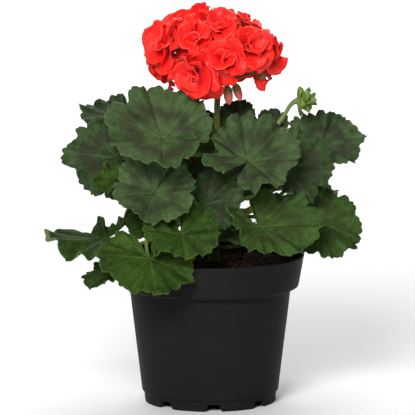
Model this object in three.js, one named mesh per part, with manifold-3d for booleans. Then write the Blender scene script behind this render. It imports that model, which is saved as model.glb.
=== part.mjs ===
// A potted zonal geranium in full leaf, with one open head of double coral-red flowers.
// Millimetres, +Z up, the viewer looks along +Y. The origin is the middle of the pot's base, on the floor.
import * as THREE from 'three';
import { mergeVertices } from 'three/addons/utils/BufferGeometryUtils.js';
import Module from 'manifold-3d';

const wasm = await Module();
wasm.setup();

// The pot: a moulded 13 cm nursery pot
const RIM_TOP = 103;
const RIM_RADIUS = 65;
const RIM_LOW = 82.6;
const RIM_LOW_RADIUS = 61.4;
const BODY_TOP_RADIUS = 55.8;
const BODY_LOW_RADIUS = 47.2;
const FOOT_TOP = 7.2;
const FOOT_RADIUS = 45.3;
const WALL = 1.6;
const FLOOR_TOP = 7.6;
const FLOOR_UNDER = 5.2;
const CENTRE_DISC_RADIUS = 16;
const POT_SIDES = 30;
const DRAIN_NOTCHES = 8;
const NOTCH_HEIGHT = 5;
const NOTCH_TOP_WIDTH = 8.4;
const NOTCH_BOTTOM_WIDTH = 13.7;
const NOTCH_REACH = 12;
const FRONT_NOTCH_TURN = 3;

// The soil, a few millimetres under the rim
const SOIL_LEVEL = 96;
const SOIL_GAP = 0.6;
const SOIL_LUMP = 0.7;

// The stems
const STEM_RADIUS = 3.9;
const STEM_HOLE_DEPTH = 9;
const CLEARANCE = 0.4;

// The blades of the leaves
const BLADE_THICKNESS = 0.8;
const BLADE_RINGS = 2;
const LOBE_DEPTH = 0.13;
const LAST_VEIN = 3.4;
const FOLD_LAP = 0.04;
const HUB_FUNNEL = 18;
const SMALL_LEAF = 25;
const LARGE_STALK = 1.5;
const SMALL_STALK = 1.1;
const STALK_START = 4.6;

// The umbel: flowers around a middle point, on stalks from the end of the peduncle
const UMBEL_ROOT = [5.5, 0, 221];
const UMBEL_MIDDLE = [4, 0, 241];
const UMBEL_REACH = [35, 31, 22];
const UMBEL_HOLLOW = 11;
const STALK_RADIUS = 0.9;
const PETAL_THICKNESS = 0.7;
const FLOWER_GAP = 1.4;
const SQUASH = 4;
const HEART_HEIGHT = 6;
const PETAL_CURL = 0.07;

const COLOURS = {
  pot: '#1d1c1c',
  soil: '#2a1a11',
  stem: '#66701f',
  stalk: '#6b6c16',
  bract: '#5d7c10',
  petal: '#f4242a',
  bud: '#d9606a',
  leaf: '#3b5129',
  youngLeaf: '#4d7310',
};

const radians = THREE.MathUtils.degToRad;
const vector = (point) => new THREE.Vector3(...point);

// Solids: a closed mesh becomes a solid that can be joined and cut, and back again

function solidOf(geometry) {
  const bare = geometry.clone();
  bare.deleteAttribute('normal');
  bare.deleteAttribute('uv');
  const merged = mergeVertices(bare, 1e-4);
  return new wasm.Manifold(new wasm.Mesh({
    numProp: 3,
    vertProperties: new Float32Array(merged.attributes.position.array),
    triVerts: new Uint32Array(merged.index.array),
  }));
}

function geometryOf(solid) {
  const mesh = solid.getMesh();
  const geometry = new THREE.BufferGeometry();
  geometry.setAttribute('position', new THREE.BufferAttribute(new Float32Array(mesh.vertProperties), 3));
  geometry.setIndex(new THREE.BufferAttribute(new Uint32Array(mesh.triVerts), 1));
  return geometry;
}

function fuse(solids) {
  return solids.reduce((whole, next) => whole.add(next));
}

function warp(geometry, move) {
  const position = geometry.attributes.position;
  for (let i = 0; i < position.count; i += 1) {
    const point = move(new THREE.Vector3().fromBufferAttribute(position, i), i);
    position.setXYZ(i, point.x, point.y, point.z);
  }
  return geometry;
}

// A sheet with an even thickness: both faces have the same triangles, and a wall closes the free edge
function thicken(sheet, thickness) {
  const bare = sheet.clone();
  bare.deleteAttribute('normal');
  bare.deleteAttribute('uv');
  const merged = mergeVertices(bare, 1e-4);
  const triangles = [];
  const index = merged.index.array;
  for (let i = 0; i < index.length; i += 3) {
    const [a, b, c] = index.slice(i, i + 3);
    if (a !== b && b !== c && c !== a) triangles.push([a, b, c]);
  }
  merged.setIndex(triangles.flat());
  merged.computeVertexNormals();
  const { position, normal } = merged.attributes;
  const count = position.count;
  const points = new Float32Array(count * 6);
  for (let i = 0; i < count; i += 1) {
    const middle = new THREE.Vector3().fromBufferAttribute(position, i);
    const out = new THREE.Vector3().fromBufferAttribute(normal, i).multiplyScalar(thickness / 2);
    middle.clone().add(out).toArray(points, i * 3);
    middle.clone().sub(out).toArray(points, (count + i) * 3);
  }
  const edges = new Set(triangles.flatMap(([a, b, c]) => [`${a},${b}`, `${b},${c}`, `${c},${a}`]));
  const faces = triangles.flatMap(([a, b, c]) => [a, b, c, count + a, count + c, count + b]);
  for (const edge of edges) {
    const [a, b] = edge.split(',').map(Number);
    if (!edges.has(`${b},${a}`)) faces.push(a, count + a, b, b, count + a, count + b);
  }
  return new wasm.Manifold(new wasm.Mesh({
    numProp: 3,
    vertProperties: points,
    triVerts: new Uint32Array(faces),
  }));
}

// A round rod of one thickness along a smooth route
function rod(points, radius, sides = 6, steps = 6) {
  const outline = new THREE.Shape(
    Array.from({ length: sides }, (_, i) => {
      const turn = (2 * Math.PI * i) / sides;
      return new THREE.Vector2(radius * Math.cos(turn), radius * Math.sin(turn));
    }),
  );
  const route = new THREE.CatmullRomCurve3(points.map(vector), false, 'centripetal');
  return solidOf(new THREE.ExtrudeGeometry(outline, { steps, bevelEnabled: false, extrudePath: route }));
}

// A solid of revolution about the Z axis, from [radius, height] pairs that start and end on the axis
function turned(profile, sides) {
  const points = profile.map(([radius, height]) => new THREE.Vector2(radius, height));
  return new THREE.LatheGeometry(points, sides).rotateX(Math.PI / 2);
}

// An egg-shaped body: its long axis runs from one point to another
function egg(from, to, radius, sides = 7, rings = 5) {
  const start = vector(from);
  const axis = vector(to).sub(start);
  const shape = new THREE.SphereGeometry(1, sides, rings);
  shape.scale(radius, axis.length() / 2, radius);
  const along = axis.clone().normalize();
  shape.applyQuaternion(new THREE.Quaternion().setFromUnitVectors(new THREE.Vector3(0, 1, 0), along));
  const middle = start.addScaledVector(axis, 0.5);
  return solidOf(shape.translate(middle.x, middle.y, middle.z));
}

// The pot

function potSolid() {
  const outside = [
    [CENTRE_DISC_RADIUS, 0],
    [CENTRE_DISC_RADIUS, FLOOR_UNDER],
    [FOOT_RADIUS - 2.6, FLOOR_UNDER],
    [FOOT_RADIUS - 2.4, 0],
    [FOOT_RADIUS, 0],
    [FOOT_RADIUS + 0.5, FOOT_TOP],
    [BODY_LOW_RADIUS, FOOT_TOP + 1],
    [BODY_TOP_RADIUS, 79.6],
    [RIM_LOW_RADIUS - 1, 80.4],
    [RIM_LOW_RADIUS, RIM_LOW],
    [RIM_RADIUS - 0.4, RIM_TOP - 1.4],
    [RIM_RADIUS, RIM_TOP - 0.6],
    [RIM_RADIUS - 0.5, RIM_TOP],
  ];
  const inside = [
    [RIM_RADIUS - WALL, RIM_TOP - 0.3],
    [RIM_LOW_RADIUS - WALL, RIM_LOW + 0.6],
    [BODY_TOP_RADIUS - WALL, 81.2],
    [BODY_LOW_RADIUS - WALL, FLOOR_TOP + 1.4],
    [BODY_LOW_RADIUS - WALL - 1.6, FLOOR_TOP],
  ];
  let pot = solidOf(turned([[0, 0], ...outside, ...inside, [0, FLOOR_TOP]], POT_SIDES));
  const notch = new THREE.Shape([
    new THREE.Vector2(-NOTCH_BOTTOM_WIDTH / 2, -1),
    new THREE.Vector2(NOTCH_BOTTOM_WIDTH / 2, -1),
    new THREE.Vector2(NOTCH_TOP_WIDTH / 2, NOTCH_HEIGHT),
    new THREE.Vector2(-NOTCH_TOP_WIDTH / 2, NOTCH_HEIGHT),
  ]);
  for (let i = 0; i < DRAIN_NOTCHES; i += 1) {
    const turn = radians(FRONT_NOTCH_TURN + (360 * i) / DRAIN_NOTCHES);
    const opening = new THREE.ExtrudeGeometry(notch, { depth: NOTCH_REACH, bevelEnabled: false });
    opening.rotateX(Math.PI / 2).translate(0, NOTCH_REACH / 2 - FOOT_RADIUS, 0).rotateZ(turn);
    pot = pot.subtract(solidOf(opening));
  }
  return pot;
}

// The soil fills the pot and has a hole where the stem stands
function soilSolid() {
  const filled = turned([
    [0, FLOOR_TOP + 0.4],
    [BODY_LOW_RADIUS - WALL - 2.4, FLOOR_TOP + 0.4],
    [BODY_TOP_RADIUS - WALL - SOIL_GAP, 81.8],
    [RIM_LOW_RADIUS - WALL - SOIL_GAP, RIM_LOW + 1.2],
    [RIM_LOW_RADIUS - WALL + 1.4, SOIL_LEVEL - 1],
    [42, SOIL_LEVEL],
    [21, SOIL_LEVEL],
    [0, SOIL_LEVEL],
  ], POT_SIDES);
  const holeRadius = STEM_RADIUS + 2 * CLEARANCE;
  const holeTop = SOIL_LEVEL + STEM_HOLE_DEPTH;
  warp(filled, (point) => {
    const radius = Math.hypot(point.x, point.y);
    const broad = Math.sin(point.x * 0.31 + 1) * Math.cos(point.y * 0.27);
    const fine = Math.sin(point.y * 0.53 + point.x * 0.2);
    if (point.z > SOIL_LEVEL - 0.5 && radius > 0) point.z += SOIL_LUMP * (broad + 0.6 * fine);
    return point;
  });
  const hole = new THREE.CylinderGeometry(holeRadius, holeRadius, 2 * STEM_HOLE_DEPTH, 12);
  hole.rotateX(Math.PI / 2).translate(STEM_FOOT[0], STEM_FOOT[1], holeTop - STEM_HOLE_DEPTH);
  return solidOf(filled).subtract(solidOf(hole));
}

// The stems: one main stem with a joint where each branch leaves
const STEM_FOOT = [3, 5, SOIL_LEVEL - STEM_HOLE_DEPTH + CLEARANCE];
const STEM_JOINT = [2, 5, 128];
const STEM_TOP = [5, 4, 184];
const LEFT_BRANCH_END = [-20, -16, 132];
const RIGHT_BRANCH_END = [36, 6, 136];
const BACK_BRANCH_END = [2, 38, 134];

function stemSolid() {
  return fuse([
    rod([STEM_FOOT, [2.5, 5, 108], STEM_JOINT], STEM_RADIUS, 8, 2),
    rod([[2, 5, 124], [1, 6, 150], STEM_TOP], 3.1, 7, 3),
    rod([[2, 5, 114], [-9, -5, 124], LEFT_BRANCH_END], 2.4, 6, 3),
    rod([[2, 5, 120], [19, 6, 128], RIGHT_BRANCH_END], 2.4, 6, 3),
    rod([[2, 5, 112], [3, 22, 122], BACK_BRANCH_END], 2.4, 6, 3),
    egg([2, 5, 107], [2, 5, 121], 4.6, 6, 4),
    egg([1.6, 5.5, 134], [1.4, 5.5, 142], 3.9, 6, 4),
    egg([2, 6, 158], [2.6, 5.6, 166], 3.8, 6, 4),
  ]);
}

// The leaves: a round fan of seven veins about a hub, with a slit at the back of the hub.
// reach and lift go from vein -3 to vein +3: how far each vein runs, in parts of the radius,
// and how steeply its end rises from the leaf's plane. A notch is [vein, depth, width].

// The columns of a blade: its veins, the dips between the lobes, and on a large leaf the dips' shoulders
const VEINS = [-3, -2, -1, 0, 1, 2, 3];
const DIPS = [-2.5, -1.5, -0.5, 0.5, 1.5, 2.5];
const SHOULDERS = DIPS.flatMap((dip) => [dip - 0.24, dip + 0.24]);
const PLAIN_VEINS = [-LAST_VEIN, ...VEINS, ...DIPS, LAST_VEIN].sort((a, b) => a - b);
const FULL_VEINS = [...PLAIN_VEINS, ...SHOULDERS].sort((a, b) => a - b);

const WHOLE = [1, 1, 1, 1, 1, 1, 1];
const FLAT = [12, 12, 12, 12, 12, 12, 12];

const LEAVES = {
  leaf_left_high: {
    hub: [-32, -34, 187], tip: [-0.95, 0.24, 0.22], face: [0.02, -0.62, 0.78], radius: 40, sweep: 184,
    reach: [0.88, 0.98, 1.02, 1.04, 0.96, 1, 0.84], lift: [26, 24, 18, 12, 12, 16, 26], overlap: 0.1,
    from: [2, 5, 169],
  },
  leaf_left_far: {
    hub: [-64, -14, 171], tip: [-0.95, 0.3, -0.02], face: [-0.28, -0.8, 0.5], radius: 37, sweep: 166,
    reach: [0.8, 0.8, 0.86, 1.05, 0.8, 0.68, 0.64], lift: [15, 15, 15, 8, -12, -20, -10],
    notches: [[0.6, 0.12, 0.18]], from: [2, 5, 145],
  },
  leaf_left_middle: {
    hub: [-38, -42, 151], tip: [-0.26, -0.65, -0.72], face: [0.02, -0.74, 0.66], radius: 29, sweep: 186,
    reach: [0.92, 1, 1, 1, 1.05, 1.05, 0.92], lift: [20, 14, 6, 4, 6, 14, 16], overlap: -0.14,
    from: [2, 5, 131],
  },
  leaf_left_edge: {
    hub: [-61, 21, 195], tip: [-0.99, 0.11, 0.03], face: [-0.03, -0.34, 1], radius: 29, sweep: 160,
    reach: [0.7, 0.65, 0.7, 1, 1.1, 0.9, 0.8], lift: [20, 20, 15, 12, 5, -5, -5], from: [2, 5, 165],
  },
  leaf_middle_high: {
    hub: [26, -36, 172], tip: [0.6, 0.62, 0.51], face: [0.1, -0.68, 0.72], radius: 36, sweep: 168,
    reach: [0.82, 0.85, 0.98, 1.03, 0.92, 0.88, 1], lift: [0, 5, 14, 18, 22, 24, 10],
    notches: [[2.5, 0.3, 0.2]], from: [2, 5, 150],
  },
  leaf_right_high: {
    hub: [77, 14, 174.5], tip: [0.97, 0.25, 0.03], face: [0.12, -0.55, 0.82], radius: 32, sweep: 165,
    reach: [0.7, 0.6, 0.68, 0.98, 0.84, 0.82, 0.95], lift: [0, 0, 4, 12, 20, 28, 28],
    notches: [[1.5, 0.12, 0.12]], from: [36, 6, 136],
  },
  leaf_right_dark: {
    hub: [55, -14, 160.5], tip: [0.78, 0.49, 0.38], face: [0.12, -0.72, 0.68], radius: 34, sweep: 165,
    reach: [0.6, 0.8, 0.85, 1.02, 0.95, 1.2, 1], lift: [5, 0, 0, 8, 18, 20, 20],
    notches: [[-1.5, 0.22, 0.2]], from: [2, 5, 134],
  },
  leaf_middle_low: {
    hub: [-4, -27, 140.5], tip: [0.98, -0.02, 0.21], face: [-0.12, -0.88, 0.45], radius: 28, sweep: 168,
    reach: [0.3, 0.7, 0.9, 1, 0.95, 0.7, 0.3], lift: [-20, -5, 0, 5, 5, -10, -30],
    from: [2, 5, 122],
  },
  leaf_right_low: {
    hub: [33, -42, 127.5], tip: [0.61, -0.6, -0.52], face: [0.05, -0.62, 0.78], radius: 36, sweep: 168,
    reach: [0.78, 0.5, 0.68, 0.85, 1.26, 0.95, 0.72], lift: [35, 20, -10, -20, 0, 10, 14],
    pleat: 0.07, from: [2, 5, 104],
  },
  leaf_right_droop: {
    hub: [74, -16, 127], tip: [0.9, 0.09, -0.44], face: [0.3, -0.85, 0.45], radius: 30, sweep: 168,
    reach: [0.7, 0.8, 0.95, 1.08, 0.92, 0.85, 0.85], lift: [10, 0, 0, 0, 0, 0, 10],
    from: [36, 6, 136], over: [60, -2, 143],
  },
  leaf_right_olive: {
    hub: [73, 12, 134], tip: [0.57, 0.79, 0.23], face: [0.3, -0.45, 0.8], radius: 19, from: [36, 6, 132],
  },
  leaf_over_rim: {
    hub: [-41, -60, 109], tip: [0.16, -0.7, -0.7], face: [-0.05, -0.72, 0.7], radius: 33, sweep: 158,
    reach: [0.85, 1.15, 0.9, 1.05, 1.02, 0.88, 0.5], lift: [15, 12, 0, -8, -8, -12, -16],
    from: [-20, -16, 132], over: [-43, -46, 122], young: true,
  },
  leaf_left_folded: {
    hub: [-60, -44, 100], tip: [-0.75, -0.31, -0.59], face: [-0.5, -0.3, 0.8], radius: 26,
    reach: [0.8, 0.9, 0.9, 1.1, 0.9, 0.9, 0.8], from: [2, 5, 107], over: [-50, -34, 114], tuck: 3,
  },
  leaf_front_bright: {
    hub: [-20, -57.5, 125], tip: [0.2, -0.76, -0.62], face: [0.05, -0.62, 0.78], radius: 27, sweep: 172,
    reach: [1, 0.95, 0.95, 1, 1, 0.95, 1], lift: [14, 10, 4, 4, 4, 10, 14],
    from: [2, 5, 105], tuck: 5, young: true,
  },
  leaf_left_low: {
    hub: [-71, -22, 117], tip: [-0.99, 0.04, -0.09], face: [-0.1, -0.22, 0.97], radius: 34, sweep: 170,
    reach: [0.9, 0.5, 0.6, 1.2, 1.1, 0.9, 0.6], lift: [68, 15, 0, 10, 4, -5, -5],
    notches: [[-1.5, 0.3, 0.2]], funnel: 6, from: [1.4, 5, 112], over: [-38, -10, 120], tuck: 3,
  },
  leaf_behind_stalk: {
    hub: [20, 14, 191], tip: [-0.35, 0.49, 0.8], face: [-0.05, -0.85, 0.5], radius: 17, sweep: 160,
    reach: [0.6, 0.7, 1, 1, 1, 1, 1], from: [5, 4, 172],
  },
  leaf_left_small: {
    hub: [-41, -23.5, 125.5], tip: [-0.94, 0.3, 0.15], face: [-0.2, -0.85, 0.45], radius: 17,
    reach: [0.8, 0.8, 0.8, 1, 0.85, 0.6, 0.5], from: [-20, -16, 129], young: true,
  },
  leaf_heart_small: {
    hub: [3, -4, 178], tip: [-0.15, 0.61, 0.78], face: [-0.1, -0.8, 0.6], radius: 12,
    from: [3, 5, 168], young: true,
  },
  leaf_right_heart: {
    hub: [29, 14, 154], tip: [0, -0.36, -0.93], face: [0.05, -0.92, 0.35], radius: 19, from: [2, 5, 146],
    over: [20, 14, 156],
  },
  leaf_low_heart: {
    hub: [18, -11, 119], tip: [0.78, -0.5, -0.38], face: [0, -0.6, 0.8], radius: 15, from: [2, 5, 109],
  },
  leaf_frilly: {
    hub: [-68, -33, 159.5], tip: [-0.88, 0.39, 0.26], face: [-0.28, -0.8, 0.5], radius: 11, lobes: 0.2,
    from: [2, 5, 138], over: [-54, -32, 142], tuck: 2, young: true,
  },
  leaf_right_tuft: {
    hub: [43, 18, 190], tip: [0.14, 0.7, 0.7], face: [0, -0.7, 0.7], radius: 12, from: [4, 5, 176],
  },
  leaf_shaded_high: {
    hub: [-8, 16, 182], tip: [-0.85, 0.46, 0.24], face: [-0.1, -0.6, 0.8], radius: 22,
    reach: [1, 1, 1, 1, 0.7, 0.5, 0.5], from: [3, 5, 162],
  },
  leaf_shaded_low: {
    hub: [-8, -2, 158], tip: [-0.3, 0.6, 0.74], face: [-0.1, -0.8, 0.6], radius: 17, from: [2, 5, 147],
  },
  leaf_back_left_high: {
    hub: [-45, 43, 171], tip: [-0.6, 0.9, -0.1], face: [-0.25, 0.6, 0.78], radius: 29, sweep: 176,
    from: [2, 6, 153],
  },
  leaf_back_middle_high: {
    hub: [20, 46, 160], tip: [0.3, 0.9, -0.3], face: [0.1, 0.62, 0.78], radius: 33, sweep: 176,
    from: [2, 38, 134],
  },
  leaf_back_right_high: {
    hub: [60, 41, 138], tip: [1, 0.4, -0.2], face: [0.45, 0.5, 0.74], radius: 29, from: [2, 5, 130],
  },
  leaf_back_left: {
    hub: [-62, 22, 150], tip: [-1, 0.5, -0.3], face: [-0.5, 0.45, 0.72], radius: 24, from: [2, 5, 127],
  },
  leaf_back_left_low: {
    hub: [-30, 56, 124], tip: [-0.3, 0.8, -0.6], face: [-0.15, 0.75, 0.64], radius: 29, from: [2, 30, 128],
  },
  leaf_back_right_low: {
    hub: [64, 50, 108], tip: [0.5, 0.7, -0.5], face: [0.35, 0.65, 0.68], radius: 27, from: [2, 24, 122],
    over: [46, 36, 120], tuck: 4,
  },
  leaf_back_low: {
    hub: [2, 66, 108], tip: [0.1, 0.8, -0.7], face: [0.05, 0.8, 0.6], radius: 24, from: [2, 38, 131],
  },
  leaf_back_top: {
    hub: [2, 33, 184], tip: [0.1, 0.8, -0.1], face: [0.05, 0.5, 0.85], radius: 15, from: [3, 6, 160],
  },
};

// A smooth value between the seven that are given for the veins
function alongVeins(values, vein) {
  const place = THREE.MathUtils.clamp(vein + 3, 0, 6);
  const i = Math.min(Math.floor(place), 5);
  const t = place - i;
  const before = values[Math.max(i - 1, 0)];
  const here = values[i];
  const next = values[i + 1];
  const after = values[Math.min(i + 2, 6)];
  const square = 2 * before - 5 * here + 4 * next - after;
  const cube = 3 * here - before - 3 * next + after;
  return 0.5 * (2 * here + (next - before) * t + square * t ** 2 + cube * t ** 3);
}

// The leaf's own directions: towards its tip, to its left, and out of its upper face
function leafAxes(leaf) {
  const face = vector(leaf.face).normalize();
  const tip = vector(leaf.tip);
  tip.addScaledVector(face, -tip.dot(face)).normalize();
  return { tip, side: face.clone().cross(tip), face };
}

// The point of the blade at a vein number and a share of the way from the hub to the edge
function bladePoint(leaf, axes, vein, share) {
  const { radius, sweep = 172, reach = WHOLE, lift = FLAT, notches = [] } = leaf;
  const { lobes = LOBE_DEPTH, overlap = 0, funnel = HUB_FUNNEL, pleat = 0.035 } = leaf;
  const turn = (vein * radians(sweep)) / LAST_VEIN;
  const between = Math.abs(Math.sin(Math.PI * vein));
  const corner = THREE.MathUtils.clamp((Math.abs(vein) - 2.75) / 0.65, 0, 1);
  let edge = (1 - lobes * between ** 4) * Math.sqrt(1 - 0.62 * corner ** 2);
  for (const [place, depth, width] of notches) edge *= 1 - depth * Math.exp(-(((vein - place) / width) ** 2));
  const length = radius * alongVeins(reach, vein) * edge;
  const start = radians(funnel);
  let bend = radians(alongVeins(lift, vein)) - start;
  if (Math.abs(bend) < 1e-3) bend = 1e-3;
  const run = (length * (Math.sin(start + bend * share) - Math.sin(start))) / bend;
  let rise = (length * (Math.cos(start) - Math.cos(start + bend * share))) / bend;
  rise += radius * pleat * (1.5 * between - 0.9) * share * (1.2 - 0.4 * share);
  rise += radius * overlap * Math.sign(vein) * Math.abs(vein / LAST_VEIN) ** 5 * share;
  return vector(leaf.hub)
    .addScaledVector(axes.tip, run * Math.cos(turn))
    .addScaledVector(axes.side, run * Math.sin(turn))
    .addScaledVector(axes.face, rise);
}

// Part of the blade with these veins at its columns, as a sheet of its own
function bladeSheet(leaf, axes, veins) {
  const sheet = new THREE.RingGeometry(0, 1, veins.length - 1, BLADE_RINGS, 0, 1);
  return thicken(warp(sheet, (point, i) => {
    const vein = veins[i % veins.length];
    const share = Math.floor(i / veins.length) / BLADE_RINGS;
    return bladePoint(leaf, axes, vein, share);
  }), BLADE_THICKNESS);
}

// A leaf is its blade with its stalk, which ends just short of the stem
function leafSolid(leaf) {
  const axes = leafAxes(leaf);
  const large = leaf.radius > SMALL_LEAF;
  const veins = large ? FULL_VEINS : PLAIN_VEINS;
  const parts = leaf.overlap
    ? [bladeSheet(leaf, axes, [...veins.filter((vein) => vein < 0), FOLD_LAP]),
      bladeSheet(leaf, axes, [-FOLD_LAP, ...veins.filter((vein) => vein > 0)])]
    : [bladeSheet(leaf, axes, veins)];
  const hub = vector(leaf.hub);
  const from = vector(leaf.from);
  const thick = large ? LARGE_STALK : SMALL_STALK;
  const out = hub.clone().sub(from);
  const away = new THREE.Vector3(out.x, out.y, 0).normalize();
  const start = from.clone().addScaledVector(away, STALK_START + thick).add(new THREE.Vector3(0, 0, 2));
  const { tuck = 0.16 * out.length() + 2 } = leaf;
  const under = hub.clone().addScaledVector(axes.face, -tuck);
  const end = hub.clone().addScaledVector(axes.face, -0.1);
  const bends = leaf.over ? [leaf.over, under.toArray()] : [under.toArray()];
  parts.push(rod([start.toArray(), ...bends, end.toArray()], thick, large ? 5 : 4, 3));
  return fuse(parts);
}

// The flowers: direction from the middle of the umbel, and size of the largest petals
const FLOWERS = {
  flower_left: { face: [-0.84, -0.36, 0.32], size: 23 },
  flower_left_high: { face: [-0.42, -0.72, 0.5], size: 23 },
  flower_left_low: { face: [-0.36, -0.9, -0.33], size: 23 },
  flower_front: { face: [0.14, -0.98, 0.06], size: 22 },
  flower_front_high: { face: [0.06, -0.5, 0.8], size: 19 },
  flower_top: { face: [-0.16, 0.22, 0.88], size: 19 },
  flower_right_high: { face: [0.5, -0.08, 0.8], size: 17 },
  flower_right: { face: [0.58, -0.74, 0.3], size: 23 },
  flower_right_far: { face: [0.95, -0.24, 0.16], size: 20 },
  flower_left_under: { face: [-0.88, 0.2, -0.34], size: 20 },
  flower_right_low: { face: [0.86, 0.22, -0.28], size: 17 },
  flower_back_left: { face: [-0.5, 0.72, 0.42], size: 23 },
  flower_back_high: { face: [0.14, 0.66, 0.68], size: 21 },
  flower_back_right: { face: [0.62, 0.68, 0.3], size: 22 },
  flower_back_low: { face: [-0.2, 0.94, -0.24], size: 22 },
  flower_back_right_low: { face: [0.42, 0.8, -0.36], size: 20 },
};

// Layers of petals around the heart: how many petals, their length, the angles from the flower's
// axis at which they leave the heart and end, and how deep the gaps between them are
const OUTER = { petals: 5, length: 1, base: 60, tip: 106, gap: 0.42, turn: 0 };
const MIDDLE = { petals: 5, length: 0.82, base: 38, tip: 74, gap: 0.36, turn: 1 };
const INNER = { petals: 3, length: 0.62, base: 14, tip: 44, gap: 0.25, turn: 3 };
const FLOWER_COLUMNS = 15;

// The flower's profile from its back to its middle: a layer, a share of the petals' length, and
// -1 on their outer face or +1 on their inner one
const FLOWER_PROFILE = [
  [OUTER, 0, -1],
  [OUTER, 1, -1],
  [OUTER, 1, 1],
  [OUTER, 0.45, 1],
  [MIDDLE, 0.55, -1],
  [MIDDLE, 1, -1],
  [MIDDLE, 1, 1],
  [MIDDLE, 0.5, 1],
  [MIDDLE, 0.24, 1],
  [INNER, 1, -1],
  [INNER, 1, 1],
  [INNER, 0.4, 1],
];

function flowerBase(flower) {
  const face = vector(flower.face).normalize();
  const [x, y, z] = UMBEL_REACH;
  return vector(UMBEL_MIDDLE).add(new THREE.Vector3(face.x * x, face.y * y, face.z * z));
}

function flowerHeart(flower) {
  return flowerBase(flower).addScaledVector(vector(flower.face).normalize(), HEART_HEIGHT);
}

// Petals press against the neighbouring flowers, so each flower keeps to its own share of the head
function keepApart(point, flower, neighbours) {
  const own = flowerHeart(flower);
  for (const neighbour of neighbours) {
    const between = flowerHeart(neighbour).sub(own);
    const free = (between.length() - FLOWER_GAP) / 2 - SQUASH;
    between.normalize();
    const past = point.clone().sub(own).dot(between) - free;
    if (past > 0) point.addScaledVector(between, SQUASH * (1 - Math.exp(-past / SQUASH)) - past);
  }
  const fromRoot = point.clone().sub(vector(UMBEL_ROOT));
  if (fromRoot.length() < UMBEL_HOLLOW) point.copy(vector(UMBEL_ROOT)).add(fromRoot.setLength(UMBEL_HOLLOW));
  return point;
}

function flowerSolid(name) {
  const flower = FLOWERS[name];
  const neighbours = Object.values(FLOWERS).filter((other) => other !== flower);
  const axis = vector(flower.face).normalize();
  const level = new THREE.Vector3(0, 0, 1).cross(axis);
  const across = level.lengthSq() > 0.01 ? level.normalize() : new THREE.Vector3(1, 0, 0);
  const up = axis.clone().cross(across);
  const base = flowerBase(flower);
  const rows = FLOWER_PROFILE.length;
  const outline = FLOWER_PROFILE.map((_, i) => new THREE.Vector2(1, i));
  const blank = new THREE.LatheGeometry(outline, FLOWER_COLUMNS);
  return solidOf(warp(blank, (point, i) => {
    const row = i % rows;
    const column = Math.floor(i / rows) % FLOWER_COLUMNS;
    const [layer, share, side] = FLOWER_PROFILE[row];
    const onAxis = row === 0 || row === rows - 1;
    const turn = (2 * Math.PI * column) / FLOWER_COLUMNS;
    const inGap = !onAxis && (column + layer.turn) % (FLOWER_COLUMNS / layer.petals) === 0;
    const length = flower.size * layer.length * (inGap ? 1 - layer.gap * share : 1);
    const start = radians(layer.base);
    const bend = radians(layer.tip) - start;
    const angle = start + bend * share;
    const open = (length * (Math.cos(start) - Math.cos(angle))) / bend;
    const rise = (length * (Math.sin(angle) - Math.sin(start))) / bend;
    const curl = onAxis ? 0 : flower.size * share * PETAL_CURL * Math.sin(2 * turn + flower.size);
    const spoke = across.clone().multiplyScalar(Math.sin(turn)).addScaledVector(up, -Math.cos(turn));
    const place = base.clone().addScaledVector(spoke, onAxis ? 0 : open).addScaledVector(axis, rise + curl);
    if (onAxis) return place.addScaledVector(axis, side);
    const half = (side * PETAL_THICKNESS) / 2;
    return keepApart(place, flower, neighbours)
      .addScaledVector(spoke, -half * Math.cos(angle))
      .addScaledVector(axis, half * Math.sin(angle));
  }));
}

// Buds that hang under the umbel on bent stalks: where the calyx starts and where the bud's tip is
const HANGING_BUDS = {
  bud_hanging_left: { calyx: [11.5, -12, 222], tip: [13, -13, 208], radius: 3.4, bend: [9, -8, 227] },
  bud_hanging_right: { calyx: [16.5, -9, 223], tip: [21, -10, 210.5], radius: 3.1, bend: [12, -5, 227] },
  bud_half_open: {
    calyx: [36, -10, 232], tip: [34, -12, 217.5], radius: 4.2, bend: [23, -5, 227], opening: true,
  },
};
const CALYX_SHARE = 0.4;
const CUTTER_SIZE = 14;

// The half of space past a point of the bud's axis, as a block to cut with
function halfSpace(place, direction) {
  const block = new THREE.BoxGeometry(CUTTER_SIZE, CUTTER_SIZE, CUTTER_SIZE);
  block.translate(0, 0, CUTTER_SIZE / 2);
  block.applyQuaternion(new THREE.Quaternion().setFromUnitVectors(new THREE.Vector3(0, 0, 1), direction));
  return solidOf(block.translate(place.x, place.y, place.z));
}

// A bud's closed petals, cut flat where the calyx holds them
function budSolid(bud) {
  const from = vector(bud.calyx);
  const to = vector(bud.tip);
  const start = from.clone().lerp(to, CALYX_SHARE * 0.4);
  const up = from.clone().sub(to).normalize();
  const cut = from.clone().lerp(to, CALYX_SHARE).addScaledVector(up, -CLEARANCE);
  return egg(start.toArray(), bud.tip, bud.radius, 8, 6).subtract(halfSpace(cut, up));
}

// The green part of a bud: its bent stalk and the calyx, cut flat against the petals
function calyxSolid(bud) {
  const from = vector(bud.calyx);
  const to = vector(bud.tip);
  const down = to.clone().sub(from).normalize();
  const cut = from.clone().lerp(to, CALYX_SHARE);
  const end = from.clone().lerp(to, CALYX_SHARE * 2);
  const stalkEnd = from.clone().addScaledVector(down, 1);
  return egg(bud.calyx, end.toArray(), bud.radius, 8, 4)
    .subtract(halfSpace(cut, down))
    .add(rod([UMBEL_ROOT, bud.bend, stalkEnd.toArray()], STALK_RADIUS, 4, 3));
}

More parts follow.
